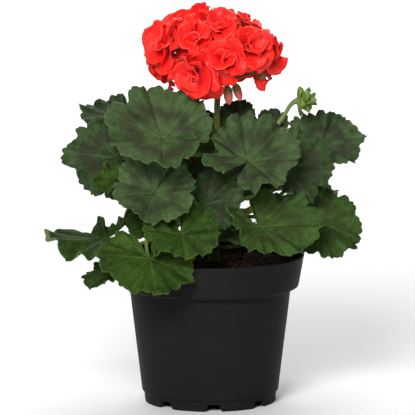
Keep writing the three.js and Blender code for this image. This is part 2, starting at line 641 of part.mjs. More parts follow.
// The peduncle, the flowers' stalks, and the hanging buds' stalks and calyces
function flowerStalkSolid() {
  const parts = [
    rod([[5, 3.6, STEM_TOP[2] + CLEARANCE], [4.6, 1.4, 200], UMBEL_ROOT], 2.2, 8, 4),
    egg([5.4, 0, 217], [5.6, 0, 226], 3.4, 7, 4),
    ...Object.values(HANGING_BUDS).map(calyxSolid),
  ];
  for (const flower of Object.values(FLOWERS)) {
    const axis = vector(flower.face).normalize();
    const end = flowerBase(flower).addScaledVector(axis, -1.7);
    parts.push(rod([UMBEL_ROOT, end.toArray()], STALK_RADIUS, 3, 1));
  }
  return fuse(parts);
}

// The young umbel: a knot of closed buds in pointed green bracts, on a curved stalk of its own
const YOUNG_UMBEL = { base: [59.5, 6, 208], outward: [0.98, 0, 0.08], length: 14, spread: 10.5 };
const YOUNG_STALK = [[9, 2.5, 171], [28, 4, 178], [43, 7, 188], [51, 8, 198], [56, 7, 206], [61, 6, 209.2]];
const BRACTS = 9;
const GOLDEN_ANGLE = 137.5;

function youngUmbelSolid() {
  const outward = vector(YOUNG_UMBEL.outward).normalize();
  const base = vector(YOUNG_UMBEL.base);
  const across = new THREE.Vector3(0, 1, 0);
  const up = outward.clone().cross(across).normalize();
  const core = base.clone().addScaledVector(outward, 10);
  const parts = [rod(YOUNG_STALK, 1.5, 5, 8), egg(base.toArray(), core.toArray(), 5.6, 7, 4)];
  for (let i = 0; i < BRACTS; i += 1) {
    const turn = i * radians(GOLDEN_ANGLE);
    const openness = (i % 3) / 2;
    const spread = YOUNG_UMBEL.spread * (0.55 + 0.45 * openness);
    const length = YOUNG_UMBEL.length * (1.15 - 0.35 * openness);
    const spoke = across.clone().multiplyScalar(Math.cos(turn)).addScaledVector(up, Math.sin(turn));
    const start = base.clone().addScaledVector(outward, 2.5).addScaledVector(spoke, spread * 0.25);
    const end = base.clone().addScaledVector(outward, length).addScaledVector(spoke, spread);
    parts.push(egg(start.toArray(), end.toArray(), 2.5, 4, 3));
  }
  return fuse(parts);
}

const plant = new THREE.Group();
plant.name = 'potted_geranium';

function addPiece(name, solid, colour, roughness) {
  const material = new THREE.MeshStandardMaterial({ color: colour, roughness, metalness: 0 });
  const mesh = new THREE.Mesh(geometryOf(solid), material);
  mesh.name = name;
  plant.add(mesh);
}

addPiece('pot', potSolid(), COLOURS.pot, 0.5);
addPiece('soil', soilSolid(), COLOURS.soil, 0.95);
addPiece('stem', stemSolid(), COLOURS.stem, 0.6);
for (const [name, leaf] of Object.entries(LEAVES)) {
  addPiece(name, leafSolid(leaf), leaf.young ? COLOURS.youngLeaf : COLOURS.leaf, 0.6);
}
addPiece('flower_stalk', flowerStalkSolid(), COLOURS.stalk, 0.5);
addPiece('young_umbel', youngUmbelSolid(), COLOURS.bract, 0.5);
for (const name of Object.keys(FLOWERS)) {
  addPiece(name, flowerSolid(name), COLOURS.petal, 0.5);
}
for (const [name, bud] of Object.entries(HANGING_BUDS)) {
  addPiece(name, budSolid(bud), bud.opening ? COLOURS.petal : COLOURS.bud, 0.5);
}

export default plant;
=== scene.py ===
# %% [markdown]
# # A potted zonal geranium
# The object is a bedding plant in its black nursery pot: round lobed leaves on long stalks, one
# dense head of double coral-red flowers, three nodding buds and a young green umbel. The packed
# model gives every piece its place and size. This script gives each piece its real surface.

# %% Load the frame
import math

import bpy
import numpy as np
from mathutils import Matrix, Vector


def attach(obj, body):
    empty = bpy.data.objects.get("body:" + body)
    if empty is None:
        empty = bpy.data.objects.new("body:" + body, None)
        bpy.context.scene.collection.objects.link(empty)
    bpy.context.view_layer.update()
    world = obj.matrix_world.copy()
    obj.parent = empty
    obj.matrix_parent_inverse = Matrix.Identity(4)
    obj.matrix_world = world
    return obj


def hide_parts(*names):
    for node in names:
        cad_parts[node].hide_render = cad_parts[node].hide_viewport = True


MM = 0.001
SCENE = bpy.context.scene

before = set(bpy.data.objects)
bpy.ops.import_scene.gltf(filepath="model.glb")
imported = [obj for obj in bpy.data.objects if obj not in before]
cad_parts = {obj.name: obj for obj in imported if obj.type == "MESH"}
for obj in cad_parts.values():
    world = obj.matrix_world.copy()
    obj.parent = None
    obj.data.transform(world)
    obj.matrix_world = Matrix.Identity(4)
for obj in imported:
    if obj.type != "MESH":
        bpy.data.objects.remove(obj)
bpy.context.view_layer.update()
print("nodes in the frame:", len(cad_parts))


# %% [markdown]
# ## Small tools
# Colours are written as sRGB hex values, as a colour picker shows them, and Blender's sockets want
# linear light. One function turns them. One more adds a node, for shaders and for Geometry Nodes
# alike, so that a tree reads as a list of steps. It counts only the sockets that the node's
# settings leave switched on.

# %% Colour and nodes
def linear(hex_colour):
    parts = [int(hex_colour[i : i + 2], 16) / 255 for i in (1, 3, 5)]
    return (*[p / 12.92 if p <= 0.04045 else ((p + 0.055) / 1.055) ** 2.4 for p in parts], 1.0)


def add(tree, kind, *inputs, out=0, **named):
    """Adds a node and gives one of its outputs. A name with a capital is an input, others are settings."""
    node = tree.nodes.new(kind)
    for key, value in named.items():
        if key[0].islower():
            setattr(node, key, value)
    wanted = list(zip([socket for socket in node.inputs if socket.enabled], inputs))
    for key, value in named.items():
        if key[0].isupper():
            wanted.append((node.inputs[key.replace("_", " ")], value))
    for socket, value in wanted:
        for source in value if isinstance(value, list) else [value]:
            if isinstance(source, bpy.types.NodeSocket):
                tree.links.new(source, socket)
            else:
                socket.default_value = source
    return node.outputs[out] if isinstance(out, str) else [s for s in node.outputs if s.enabled][out]


MATH, VECTOR = "ShaderNodeMath", "ShaderNodeVectorMath"
RANGE, MIX = "ShaderNodeMapRange", "ShaderNodeMix"
NOISE, CELLS = "ShaderNodeTexNoise", "ShaderNodeTexVoronoi"
SHADER_VALUE, MESH_VALUE = "ShaderNodeAttribute", "GeometryNodeInputNamedAttribute"
CHANCE = "FunctionNodeRandomValue"
print("mid grey #808080 in linear light:", round(linear("#808080")[0], 3))


# %% [markdown]
# Meshes are worked out in millimetres with numpy and stored in metres. A sheet is a grid of points:
# rows run from its root to its edge and columns run across it. A turned or rolled body is a grid
# whose columns go all the way round, closed by a fan of faces at either end.

# %% Meshes from grids of points
def unit(vector):
    vector = np.array(vector, float)
    return vector / np.linalg.norm(vector)


def show(name, mesh):
    piece = bpy.data.objects.new(name, mesh)
    SCENE.collection.objects.link(piece)
    return piece


def new_object(name, points, faces, edges=()):
    mesh = bpy.data.meshes.new(name)
    mesh.from_pydata((np.asarray(points) * MM).tolist(), edges, faces)
    return show(name, mesh)


def grid_faces(rows, columns, wrap=False):
    steps = [(c, (c + 1) % columns) for c in range(columns if wrap else columns - 1)]
    return [
        (row + c, row + after, row + columns + after, row + columns + c)
        for row in range(0, (rows - 1) * columns, columns)
        for c, after in steps
    ]


def closed_grid(name, points, ends, skin):
    """Columns that go round, with a point at either end: a smooth closed body."""
    rows, columns = points.shape[:2]
    count = rows * columns
    faces = grid_faces(rows, columns, wrap=True)
    for c in range(columns):
        after = (c + 1) % columns
        faces += [(count, after, c), (count + 1, count - columns + c, count - columns + after)]
    piece = new_object(name, np.concatenate([points.reshape(-1, 3), ends]), faces)
    piece.data.shade_smooth()
    piece.data.materials.append(skin)
    return piece


# %% [markdown]
# A material can only follow a surface that is mapped. So each sheet's UV map holds, for every
# point, how far across and how far along the sheet it is. Other values, such as how strongly a
# leaf's brown ring shows, are attributes of its points.

# %% Values on a mesh, and its points
def map_surface(piece, across, along):
    loops = np.empty(len(piece.data.loops), int)
    piece.data.loops.foreach_get("vertex_index", loops)
    pairs = np.stack([across, along], -1).reshape(-1, 2)[loops]
    piece.data.uv_layers.new(name="surface").uv.foreach_set("vector", pairs.astype(np.float32).ravel())


def sheet_object(name, points, across, along):
    piece = new_object(name, points.reshape(-1, 3), grid_faces(*points.shape[:2]))
    map_surface(piece, across, along)
    set_attribute(piece, "share", along.ravel())
    return piece


def set_attribute(piece, name, values):
    values = np.broadcast_to(values, len(piece.data.vertices)).astype(np.float32)
    piece.data.attributes.new(name, "FLOAT", "POINT").data.foreach_set("value", values)


def points_of(piece):
    points = np.empty(len(piece.data.vertices) * 3, np.float32)
    piece.data.vertices.foreach_get("co", points)
    return points.reshape(-1, 3).astype(float) / MM


def move_points(piece, points):
    piece.data.vertices.foreach_set("co", (points * MM).astype(np.float32).ravel())
    piece.data.update()


# %% [markdown]
# Flowers, buds and bracts are made upright at the origin, about the Z axis, where their sizes are
# easy to think about. Turning an object would slide its patterns, so their points are moved to
# the place and direction that they have on the plant.

# %% Stand a piece on the plant
def aim(points, root, axis):
    """Points made about the Z axis, moved to a root with their axis along another line."""
    axis = unit(axis)
    level = np.cross([0, 0, 1], axis)
    # an axis that is almost upright has no clear level direction, and takes X
    across = unit(level) if level.dot(level) > 0.01 else np.array([1.0, 0, 0])
    up = np.cross(axis, across)
    return np.array(root) + points[..., :1] * across + points[..., 1:2] * -up + points[..., 2:] * axis


def stand(piece, root, axis):
    move_points(piece, aim(points_of(piece), root, axis))
    return piece


def join(name, pieces):
    bpy.ops.object.select_all(action="DESELECT")
    for piece in pieces:
        piece.select_set(True)
    bpy.context.view_layer.objects.active = pieces[0]
    bpy.ops.object.join()
    pieces[0].name = name
    return pieces[0]


def place(piece, node):
    """The piece rides on the only body and stands for this node of the frame."""
    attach(piece, "root")
    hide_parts(node)


# %% [markdown]
# ## Geometry Nodes
# A tree is built once and used by many pieces. Its inputs have names, and a modifier is told
# their values by each socket's identifier. Growing a piece runs the tree and puts the evaluated
# result in the piece's place as a plain mesh, because the export knows nothing of modifiers.

# %% Build a tree, and grow a piece with it
KINDS = {float: "Float", int: "Int", tuple: "Vector"}


def new_tree(name, **inputs):
    """Each input has its usual value, or the name of its kind where there is none."""
    tree = bpy.data.node_groups.new(name, "GeometryNodeTree")
    tree.interface.new_socket("Geometry", in_out="INPUT", socket_type="NodeSocketGeometry")
    for key, usual in inputs.items():
        label, kind = key.replace("_", " "), KINDS.get(type(usual), usual)
        socket = tree.interface.new_socket(label, in_out="INPUT", socket_type=f"NodeSocket{kind}")
        if kind != usual:
            socket.default_value = usual
    tree.interface.new_socket("Geometry", in_out="OUTPUT", socket_type="NodeSocketGeometry")
    return tree, tree.nodes.new("NodeGroupInput").outputs


def end_tree(tree, geometry, skin, below=None):
    """Every tree ends in real geometry, not instances, and in its material. Faces that are marked as
    an underside may have another one."""
    done = add(tree, "GeometryNodeRealizeInstances", geometry)
    done = add(tree, "GeometryNodeSetMaterial", done, Material=skin)
    if below:
        turned = add(tree, MESH_VALUE, "underside", data_type="BOOLEAN")
        done = add(tree, "GeometryNodeSetMaterial", done, turned, below)
    tree.links.new(done, tree.nodes.new("NodeGroupOutput").inputs[0])


def grow(piece, tree, **values):
    modifier = piece.modifiers.new(tree.name, "NODES")
    modifier.node_group = tree
    sockets = {item.name: item.identifier for item in tree.interface.items_tree if item.in_out == "INPUT"}
    for key, value in values.items():
        modifier[sockets[key.replace("_", " ")]] = value
    depsgraph = bpy.context.evaluated_depsgraph_get()
    mesh = bpy.data.meshes.new_from_object(piece.evaluated_get(depsgraph), depsgraph=depsgraph)
    mesh.shade_smooth()
    name = piece.name
    bpy.data.objects.remove(piece)
    return show(name, mesh)


# %% [markdown]
# Blades and petals are thin sheets with two faces. Both trees that make them end alike: the sheet
# is extruded by its thickness for the upper face, the same sheet is turned over for the lower one,
# and the two are welded round the edge. The lower face is marked, so that it can look different.

# %% Thicken a sheet
def thicken(tree, sheet, thickness, weld):
    """Both faces of a sheet. Points that are nearer to each other than weld, in metres, become one."""
    upper = add(tree, "GeometryNodeExtrudeMesh", sheet, Offset_Scale=thickness, Individual=False)
    lower = add(tree, "GeometryNodeFlipFaces", sheet)
    lower = add(
        tree, "GeometryNodeStoreNamedAttribute", lower,
        Name="underside", Value=True, data_type="BOOLEAN", domain="FACE",
    )
    both = add(tree, "GeometryNodeJoinGeometry", [lower, upper])
    return add(tree, "GeometryNodeMergeByDistance", both, Distance=weld)


def about_zero(tree, here, seed, scale, detail):
    """Smooth noise between about -0.3 and 0.3, different for each seed."""
    noise = add(tree, NOISE, here, seed, scale, detail, noise_dimensions="4D")
    return add(tree, MATH, noise, 0.5, operation="SUBTRACT")


# %% [markdown]
# ## Materials
# Every finish is one Principled shader. What is the same everywhere stands on the shader's own
# sockets, and colour and fine relief come from patterns. They read Object coordinates in metres,
# so a noise of scale 1000 has spots of about 1 mm, and one of scale 50 spots of about 20 mm.

# %% Begin and end a material
def new_skin(name, **sockets):
    """Gives the material, its nodes and its Object coordinates."""
    material = bpy.data.materials.new(name)
    material.use_nodes = True
    tree = material.node_tree
    for key, value in sockets.items():
        tree.nodes["Principled BSDF"].inputs[key.replace("_", " ")].default_value = value
    return material, tree, add(tree, "ShaderNodeTexCoord", out="Object")


def finish_skin(tree, colour, height, strength, depth):
    """Links the colour, and a relief of this depth in metres."""
    relief = add(tree, "ShaderNodeBump", strength, depth, Height=height)
    for key, value in (("Base Color", colour), ("Normal", relief)):
        tree.links.new(value, tree.nodes["Principled BSDF"].inputs[key])


def on_sheet(tree):
    """How far across and along its sheet a point is."""
    plan = add(tree, "ShaderNodeUVMap", uv_map="surface")
    return plan, *[add(tree, "ShaderNodeSeparateXYZ", plan, out=axis) for axis in ("X", "Y")]


# %% [markdown]
# ### Leaves
# A leaf is a thin waxy skin over green tissue, with fine hairs that blur its gloss. Its colour
# follows its own plan: pale veins fan out from the hub, a brown ring crosses them about half-way
# out, and the rim is lighter. A painted picture could show that too, but plain arithmetic on the
# UV map fits every leaf: U is the vein number, -3.4 to 3.4, and V runs from hub to edge.

# %% Pale veins
FIRST_VEIN = -3.4
LAST_VEIN = 3.4
# two main veins are 31 mm apart at the edge of a leaf of 35 mm radius
VEIN_GAP = 31.0
# main veins, forks and twigs: where they part and end, how far aside, half their width in mm, strength
BRANCHES = ((0.0, 1.0, 0.0, 0.75, 1.0), (0.12, 0.95, 0.27, 0.5, 0.4), (0.42, 1.0, 0.13, 0.4, 0.22))


def pale_veins(tree, space, vein, share):
    """How strongly a vein shows here, and how far the nearest main vein is, in vein numbers."""
    # each vein bends about every 14 mm
    bends = add(tree, NOISE, space, 70.0, 2.0)
    bends = add(tree, MATH, bends, 0.5, operation="SUBTRACT")
    crooked = add(tree, MATH, bends, 0.16, vein, operation="MULTIPLY_ADD")
    beside = add(tree, MATH, crooked, 0.5, operation="PINGPONG")
    wide = add(tree, MATH, share, VEIN_GAP, operation="MULTIPLY")
    distance, veins = beside, 0.0
    for parts, ends, aside, width, strength in BRANCHES:
        branch = add(tree, RANGE, share, parts, ends, 0.0, aside)
        distance = add(tree, MATH, distance, branch, operation="SUBTRACT")
        distance = add(tree, MATH, distance, operation="ABSOLUTE")
        in_mm = add(tree, MATH, distance, wide, operation="MULTIPLY")
        line = add(tree, RANGE, in_mm, 0.1, width, strength, 0.0, interpolation_type="SMOOTHSTEP")
        veins = add(tree, MATH, veins, line, operation="MAXIMUM")
    fading = add(tree, RANGE, share, 0.1, 0.8, 0.45, 0.1)
    return add(tree, MATH, veins, fading, operation="MULTIPLY"), beside


# %% The brown ring
def brown_ring(tree, share, beside, patchy):
    """The ring's inner and outer edges run in scallops round the lobes, and waver."""
    waver = add(tree, MATH, patchy, 0.5, -0.25, operation="MULTIPLY_ADD")
    scallop = add(tree, MATH, beside, 0.16, share, operation="MULTIPLY_ADD")
    ring_at = add(tree, MATH, scallop, waver, operation="ADD")
    ring = add(tree, SHADER_VALUE, attribute_name="zone", out="Fac")
    for fade in ((0.34, 0.56, 0.0, 1.0), (0.56, 0.84, 1.0, 0.0)):
        shown = add(tree, RANGE, ring_at, *fade, interpolation_type="SMOOTHSTEP")
        ring = add(tree, MATH, ring, shown, operation="MULTIPLY")
    return ring


# %% Leaf skin
def leaf_skin(name, lamina, light, vein, ring):
    material, tree, space = new_skin(name, Roughness=0.56, IOR=1.4, Specular_IOR_Level=0.18)
    _, number, share = on_sheet(tree)
    veins, beside = pale_veins(tree, space, number, share)
    # patches of 22 mm, and a mottle of 4 mm that its finer octaves break up
    patchy = add(tree, NOISE, space, 45.0, 4.0)
    mottle = add(tree, NOISE, space, 260.0, 6.0, 0.65)
    tone = add(tree, SHADER_VALUE, attribute_name="fresh", out="Fac")
    for pattern, weight in ((mottle, 1.7), (patchy, 1.4)):
        tone = add(tree, MATH, pattern, weight, tone, operation="MULTIPLY_ADD")
    tone = add(tree, RANGE, tone, 1.3, 2.6)
    rim = add(tree, RANGE, share, 0.97, 1.0, 0.0, 0.28, interpolation_type="SMOOTHSTEP")
    zone = brown_ring(tree, share, beside, patchy)
    colour = linear(lamina)
    for factor, over in ((tone, light), (zone, ring), (veins, vein), (rim, vein)):
        colour = add(tree, MIX, factor, colour, linear(over), data_type="RGBA")

    # the finest veins close cells of 2 mm; the short hairs are drawn as a grain of 1 mm, coarser
    # than they are, so that they still blur the gloss
    net = add(tree, CELLS, space, 450.0, feature="DISTANCE_TO_EDGE")
    net = add(tree, RANGE, net, 0.0, 0.16, 1.0, 0.0)
    grain = add(tree, NOISE, space, 900.0, 3.0)
    height = mottle
    for pattern, depth in ((veins, -0.8), (grain, 0.25), (net, -0.3)):
        height = add(tree, MATH, pattern, depth, height, operation="MULTIPLY_ADD")
    finish_skin(tree, colour, height, 0.8, 0.0008)
    return material


# the usual leaf: dull, a little grey, with a chocolate ring
LEAF = leaf_skin("zonal leaf skin", "#1c2e14", "#536a40", "#64794e", "#2f3122")
# leaves low on the plant are older and yellower, and their ring is faint
LOWER_LEAF = leaf_skin("lower leaf skin", "#1a2e0a", "#48652a", "#66783c", "#2b3213")
# a young leaf is the freshest green, which draws the eye to the front of the pot
YOUNG_LEAF = leaf_skin("young leaf skin", "#1b3209", "#4a6a1e", "#6d8a3c", "#28330f")


# %% The underside of a leaf
def underside_skin():
    material, tree, space = new_skin("leaf underside skin", Roughness=0.75, IOR=1.4)
    # a mottle of 4.5 mm, and the same net of 2 mm as above
    mottle = add(tree, NOISE, space, 220.0, 5.0)
    net = add(tree, CELLS, space, 450.0, feature="DISTANCE_TO_EDGE")
    colour = add(tree, MIX, mottle, linear("#4c6130"), linear("#6d8050"), data_type="RGBA")
    finish_skin(tree, colour, net, 0.3, 0.0004)
    return material


# paler and quite without gloss, so a turned-up margin stands out from the face beside it
UNDERSIDE = underside_skin()
print("leaf skins made")


# %% [markdown]
# ### Green stems
# Stems and stalks are green skin over fibres, with fine streaks along them and short hairs. Their
# streaks are noise that is stretched along Z, which is close enough to the way that stalks run.
# One function makes every green that isn't a leaf, and the pale hairs on them.

# %% Stem skin
def stem_skin(name, green, other, roughness=0.5):
    material, tree, space = new_skin(name, Roughness=roughness, IOR=1.42, Sheen_Weight=0.15)
    # streaks 2 mm wide and 17 mm long, and blotches of 11 mm
    stretched = add(tree, "ShaderNodeMapping", space, Scale=(500.0, 500.0, 60.0))
    streaks = add(tree, NOISE, stretched, 1.0, 4.0)
    blotches = add(tree, NOISE, space, 90.0, 3.0)
    both = add(tree, MATH, streaks, blotches, operation="ADD")
    factor = add(tree, RANGE, both, 0.75, 1.3)
    colour = add(tree, MIX, factor, linear(green), linear(other), data_type="RGBA")
    finish_skin(tree, colour, streaks, 0.35, 0.0004)
    return material


# old stem that starts to turn to wood: pale olive and rough
STEM = stem_skin("main stem skin", "#74832a", "#8f8f40", 0.6)
# the flower's tall stalk: a deep olive that sets off the red above it
STALK = stem_skin("flower stalk skin", "#465a0c", "#66681a")
# leaf stalks: lighter lines in the dark between the leaves
LEAF_STALK = stem_skin("leaf stalk skin", "#56691f", "#6e7c2f")
# bracts and sepals: young leaf green, the liveliest on the plant
BRACT = stem_skin("bract skin", "#3f5c09", "#6f8c2b")
# the calyx of a hanging bud: olive that flushes to a rusty pink
CALYX = stem_skin("calyx skin", "#6c6f26", "#a8744c")
# the young umbel's stalk: grey-green, from the down on it
YOUNG_STALK = stem_skin("young stalk skin", "#5f713a", "#82925a")
# single hairs: almost white, they soften an outline against the light
DOWN = stem_skin("plant hair", "#c9cfa4", "#e3e6cb", 0.7)
print("stem skins made")


# %% [markdown]
# ### Petals
# A geranium petal is a satin film, thinner than paper, lit partly from inside. Its colour is
# deepest near the heart, partly its own and partly painted shade for the creases where petals
# overlap. Fine veins run from the root to the edge. Subsurface scattering gives the glow, and a
# small amount of sheen the velvet at grazing light.

# %% Petal skin
def petal_skin(name, deep, bright, edge):
    # red light goes 3 mm into the petal, green and blue much less
    glow = {"Subsurface_Weight": 0.1, "Subsurface_Radius": (1.0, 0.15, 0.08), "Subsurface_Scale": 0.003}
    material, tree, space = new_skin(name, Roughness=0.5, IOR=1.4, Sheen_Weight=0.05, **glow)
    plan, _, share = on_sheet(tree)
    # clouds of 17 mm; the fan of veins counts 16 in half a petal's width, fewer than are there
    cloud = add(tree, NOISE, space, 60.0, 3.0)
    fan = add(tree, "ShaderNodeMapping", plan, Scale=(16.0, 1.2, 1.0))
    fine = add(tree, NOISE, fan, 1.0, 3.0)
    # the crimson towards the root is partly the petal's own colour and partly painted shade for the creases
    # where petals overlap
    along = add(tree, RANGE, share, 0.2, 0.95)
    along = add(tree, MATH, cloud, 0.6, along, operation="MULTIPLY_ADD")
    along = add(tree, RANGE, along, 0.25, 1.3)
    rim = add(tree, RANGE, share, 0.86, 1.0)
    pale = add(tree, SHADER_VALUE, attribute_name="pale", out="Fac")
    for factor in (0.35, pale):
        rim = add(tree, MATH, rim, factor, operation="MULTIPLY")
    colour = linear(deep)
    for factor, over in ((along, bright), (rim, edge)):
        colour = add(tree, MIX, factor, colour, linear(over), data_type="RGBA")
    finish_skin(tree, colour, fine, 0.35, 0.0004)
    return material


# coral red, almost orange where the light goes through; the crimson in the folds is painted shade, and
# partly the petal's own deeper root
PETAL = petal_skin("coral petal", "#cc0016", "#ff2416", "#ff7462")
# petals that are still rolled up: salmon pink over a green root
BUD_PETAL = petal_skin("closed bud petal", "#8a6a3a", "#f0685c", "#f6c0b0")
print("petal skins made")


# %% [markdown]
# ### Pot and soil
# The pot is injection-moulded black polypropylene: a satin skin that the mould left slightly
# grained, with faint rings from turning the mould. The soil is moist peat: almost black crumbs,
# with rusty fibres and a few paler grains among them.

# %% Pot plastic
def pot_plastic():
    material, tree, space = new_skin("moulded black polypropylene", IOR=1.49, Specular_IOR_Level=0.04)
    # dust and scuffs of 55 mm; a grain of 0.6 mm, coarser than the mould's; rings 1.1 mm apart
    dust = add(tree, NOISE, space, 18.0, 6.0)
    grain = add(tree, NOISE, space, 1600.0, 2.0)
    flat = add(tree, "ShaderNodeMapping", space, Scale=(4.0, 4.0, 900.0))
    rings = add(tree, NOISE, flat, 1.0, 1.0)
    height = add(tree, MATH, rings, 0.4, grain, operation="MULTIPLY_ADD")
    colour = add(tree, MIX, dust, linear("#181818"), linear("#222222"), data_type="RGBA")
    finish_skin(tree, colour, height, 0.12, 0.0003)
    scuffs = add(tree, RANGE, dust, 0.0, 1.0, 0.46, 0.6)
    tree.links.new(scuffs, tree.nodes["Principled BSDF"].inputs["Roughness"])
    return material


# near black with a soft, wide gloss, so that the pot stays behind the plant
POT = pot_plastic()


# %% Peat
def peat(name, dark, warm, spots_per_metre):
    material, tree, space = new_skin(name, Roughness=0.9, Specular_IOR_Level=0.08)
    crumbs = add(tree, NOISE, space, spots_per_metre, 6.0)
    factor = add(tree, RANGE, crumbs, 0.4, 0.65)
    colour = add(tree, MIX, factor, linear(dark), linear(warm), data_type="RGBA")
    finish_skin(tree, colour, crumbs, 0.8, 0.001)
    return material


# wet peat drinks the light: the darkest thing in the picture, in spots of 2.5 mm
SOIL = peat("moist peat", "#120704", "#2e160b", 400.0)
# loose crumbs are drier and warmer, each with a tone of its own, as the spots of 7 mm are larger
CRUMB = peat("peat crumbs", "#24100a", "#5e3220", 150.0)
# rusty threads that catch the light between the crumbs, with a new tone every 8 mm
FIBRE = peat("rusty peat fibre", "#6e3616", "#b06c34", 120.0)
# a few pale specks give the dark ground its scale: patches of 5 mm, so that each has its own tone
GRAIN = peat("pale grains", "#6d6355", "#a09584", 200.0)
print("materials:", len(bpy.data.materials))


# %% [markdown]
# ## The pot
# The real one is a thin moulded shell: a tapered wall, a wider rim band, and a foot ring with
# eight drainage notches. Its shape is a turned profile, which a modifier could spin. A grid of
# points does the same, columns going round and rows following the profile, and its points can
# still be moved: in the columns of a notch the foot's lower rows are lifted, with the rounded
# sides that let the part leave its mould.

# %% The pot's profile
# radius and height in mm, from the middle of the underside round the outside to the floor inside
POT_PROFILE = [
    (0, 0.0), (14, 0), (15.6, 0.1), (16, 0.5), (16, 4.8), (16.6, 5.2), (30, 5.2), (42.0, 5.2), (42.6, 4.9),
    (42.8, 0.6), (43.2, 0.1), (43.6, 0), (44.6, 0), (45.1, 0.15), (45.35, 0.6), (45.5, 3.0), (45.8, 6.7),
    (46.0, 7.15), (46.5, 7.5), (46.95, 7.8), (47.2, 8.4), (47.35, 9.6), (49.4, 26.6), (51.6, 45.0),
    (53.7, 62.0), (55.6, 78.0), (55.8, 79.2), (56.4, 79.8), (58.4, 80.1), (60.0, 80.3), (60.9, 80.9),
    (61.35, 82.0), (61.6, 83.6), (62.6, 89.2), (63.7, 95.4), (64.5, 100.2), (64.8, 101.6), (65.0, 102.2),
    (64.95, 102.7), (64.6, 103.0), (64.0, 103.0), (63.55, 102.8), (63.3, 102.3), (62.9, 99.8), (61.6, 92.8),
    (60.2, 84.8), (59.8, 83.2), (58.6, 82.2), (55.2, 81.6), (54.2, 80.6), (53.0, 72.0), (49.6, 43.0),
    (45.8, 11.6), (45.4, 9.2), (44.4, 7.9), (43.4, 7.6), (20, 7.6), (0, 7.6),
]
FOOT_INSIDE, FOOT_RADIUS = 42.3, 45.3
NOTCHES, FIRST_NOTCH = 8, math.radians(3)
NOTCH_HEIGHT, NOTCH_HALF_TOP, NOTCH_HALF_BOTTOM = 5, 4.2, 6.85


# %% Turn the profile into the pot
def lathe(name, profile, columns, shape, skin):
    """A closed turned body. shape(points) moves its points, but for the two at its ends."""
    profile = np.array(profile, float)
    angle = np.linspace(0, 2 * math.pi, columns, endpoint=False)
    radius, height = profile[1:-1, :1], profile[1:-1, 1:]
    points = shape(np.stack([radius * np.cos(angle), radius * np.sin(angle), height + 0 * angle], 2))
    ends = [(0, 0, profile[0, 1]), (0, 0, points[-1, :, 2].mean())]
    return closed_grid(name, points, ends, skin)


def cut_notches(points):
    """Lifts the foot's lower edge where a drainage notch is."""
    x, y, z = np.moveaxis(points, 2, 0)
    apart = 2 * math.pi / NOTCHES
    turn = np.arctan2(y, x) + math.pi / 2 - FIRST_NOTCH
    beside = np.abs((turn + apart / 2) % apart - apart / 2) * FOOT_RADIUS
    t = np.clip((beside - NOTCH_HALF_TOP) / (NOTCH_HALF_BOTTOM - NOTCH_HALF_TOP), 0, 1)
    lift = NOTCH_HEIGHT * (1 - np.sqrt(1 - (1 - t) ** 2))
    # lifted rows stay a hair apart, so that no face has a corner less
    raised = np.maximum(z, np.minimum(lift, NOTCH_HEIGHT - 0.1 + 0.02 * z))
    in_foot = (np.hypot(x, y) > FOOT_INSIDE) & (z < NOTCH_HEIGHT)
    return np.stack([x, y, np.where(in_foot, raised, z)], 2)


pot = lathe("pot_shell", POT_PROFILE, 384, cut_notches, POT)
pot.data.set_sharp_from_angle(angle=math.radians(46))
place(pot, "pot")
print("pot:", len(pot.data.polygons), "faces")


# %% [markdown]
# ## The soil
# The peat fills the pot to 7 mm under its rim. Its body is turned like the pot, and a few waves
# raise its top into lumps. Loose crumbs, clods, fibres and pale grains lie on it by the thousand.
# A particle system could strew them, but a Geometry Nodes tree keeps them as real geometry: it
# scatters a small shape over the top, turned and sized at random from a fixed seed.

# %% The soil's body
SOIL_LEVEL = 96


def lumpy(points):
    """Raises the top into lumps that are 12 to 23 mm, 3 mm and 1.3 mm across."""
    x, y, z = np.moveaxis(points, 2, 0)
    broad = np.sin(x * 0.31 + 1) * np.cos(y * 0.27) + 0.6 * np.sin(y * 0.53 + x * 0.2)
    fine = np.sin(x * 1.9 + 2 * np.sin(y * 1.1)) * np.cos(y * 2.3 + 1.5 * np.sin(x * 0.9))
    finer = np.sin(x * 4.7 + y * 1.3) * np.sin(y * 5.3 - x * 2.1)
    raised = z + 0.7 * broad + 0.55 * fine + 0.3 * finer
    return np.stack([x, y, np.where(z > SOIL_LEVEL - 1.5, raised, z)], 2)


soil_rings = [(radius, SOIL_LEVEL) for radius in np.arange(57.5, 0, -1.15)]
SOIL_SIDE = [(0, 8.0), (20, 8.0), (43.2, 8.0), (53.6, 81.8), (59.2, 83.8), (61.0, 93.4)]
soil = lathe("soil_bed", [*SOIL_SIDE, *soil_rings, (0, SOIL_LEVEL)], 300, lumpy, SOIL)
place(soil, "soil")
print("soil:", len(soil.data.polygons), "faces")


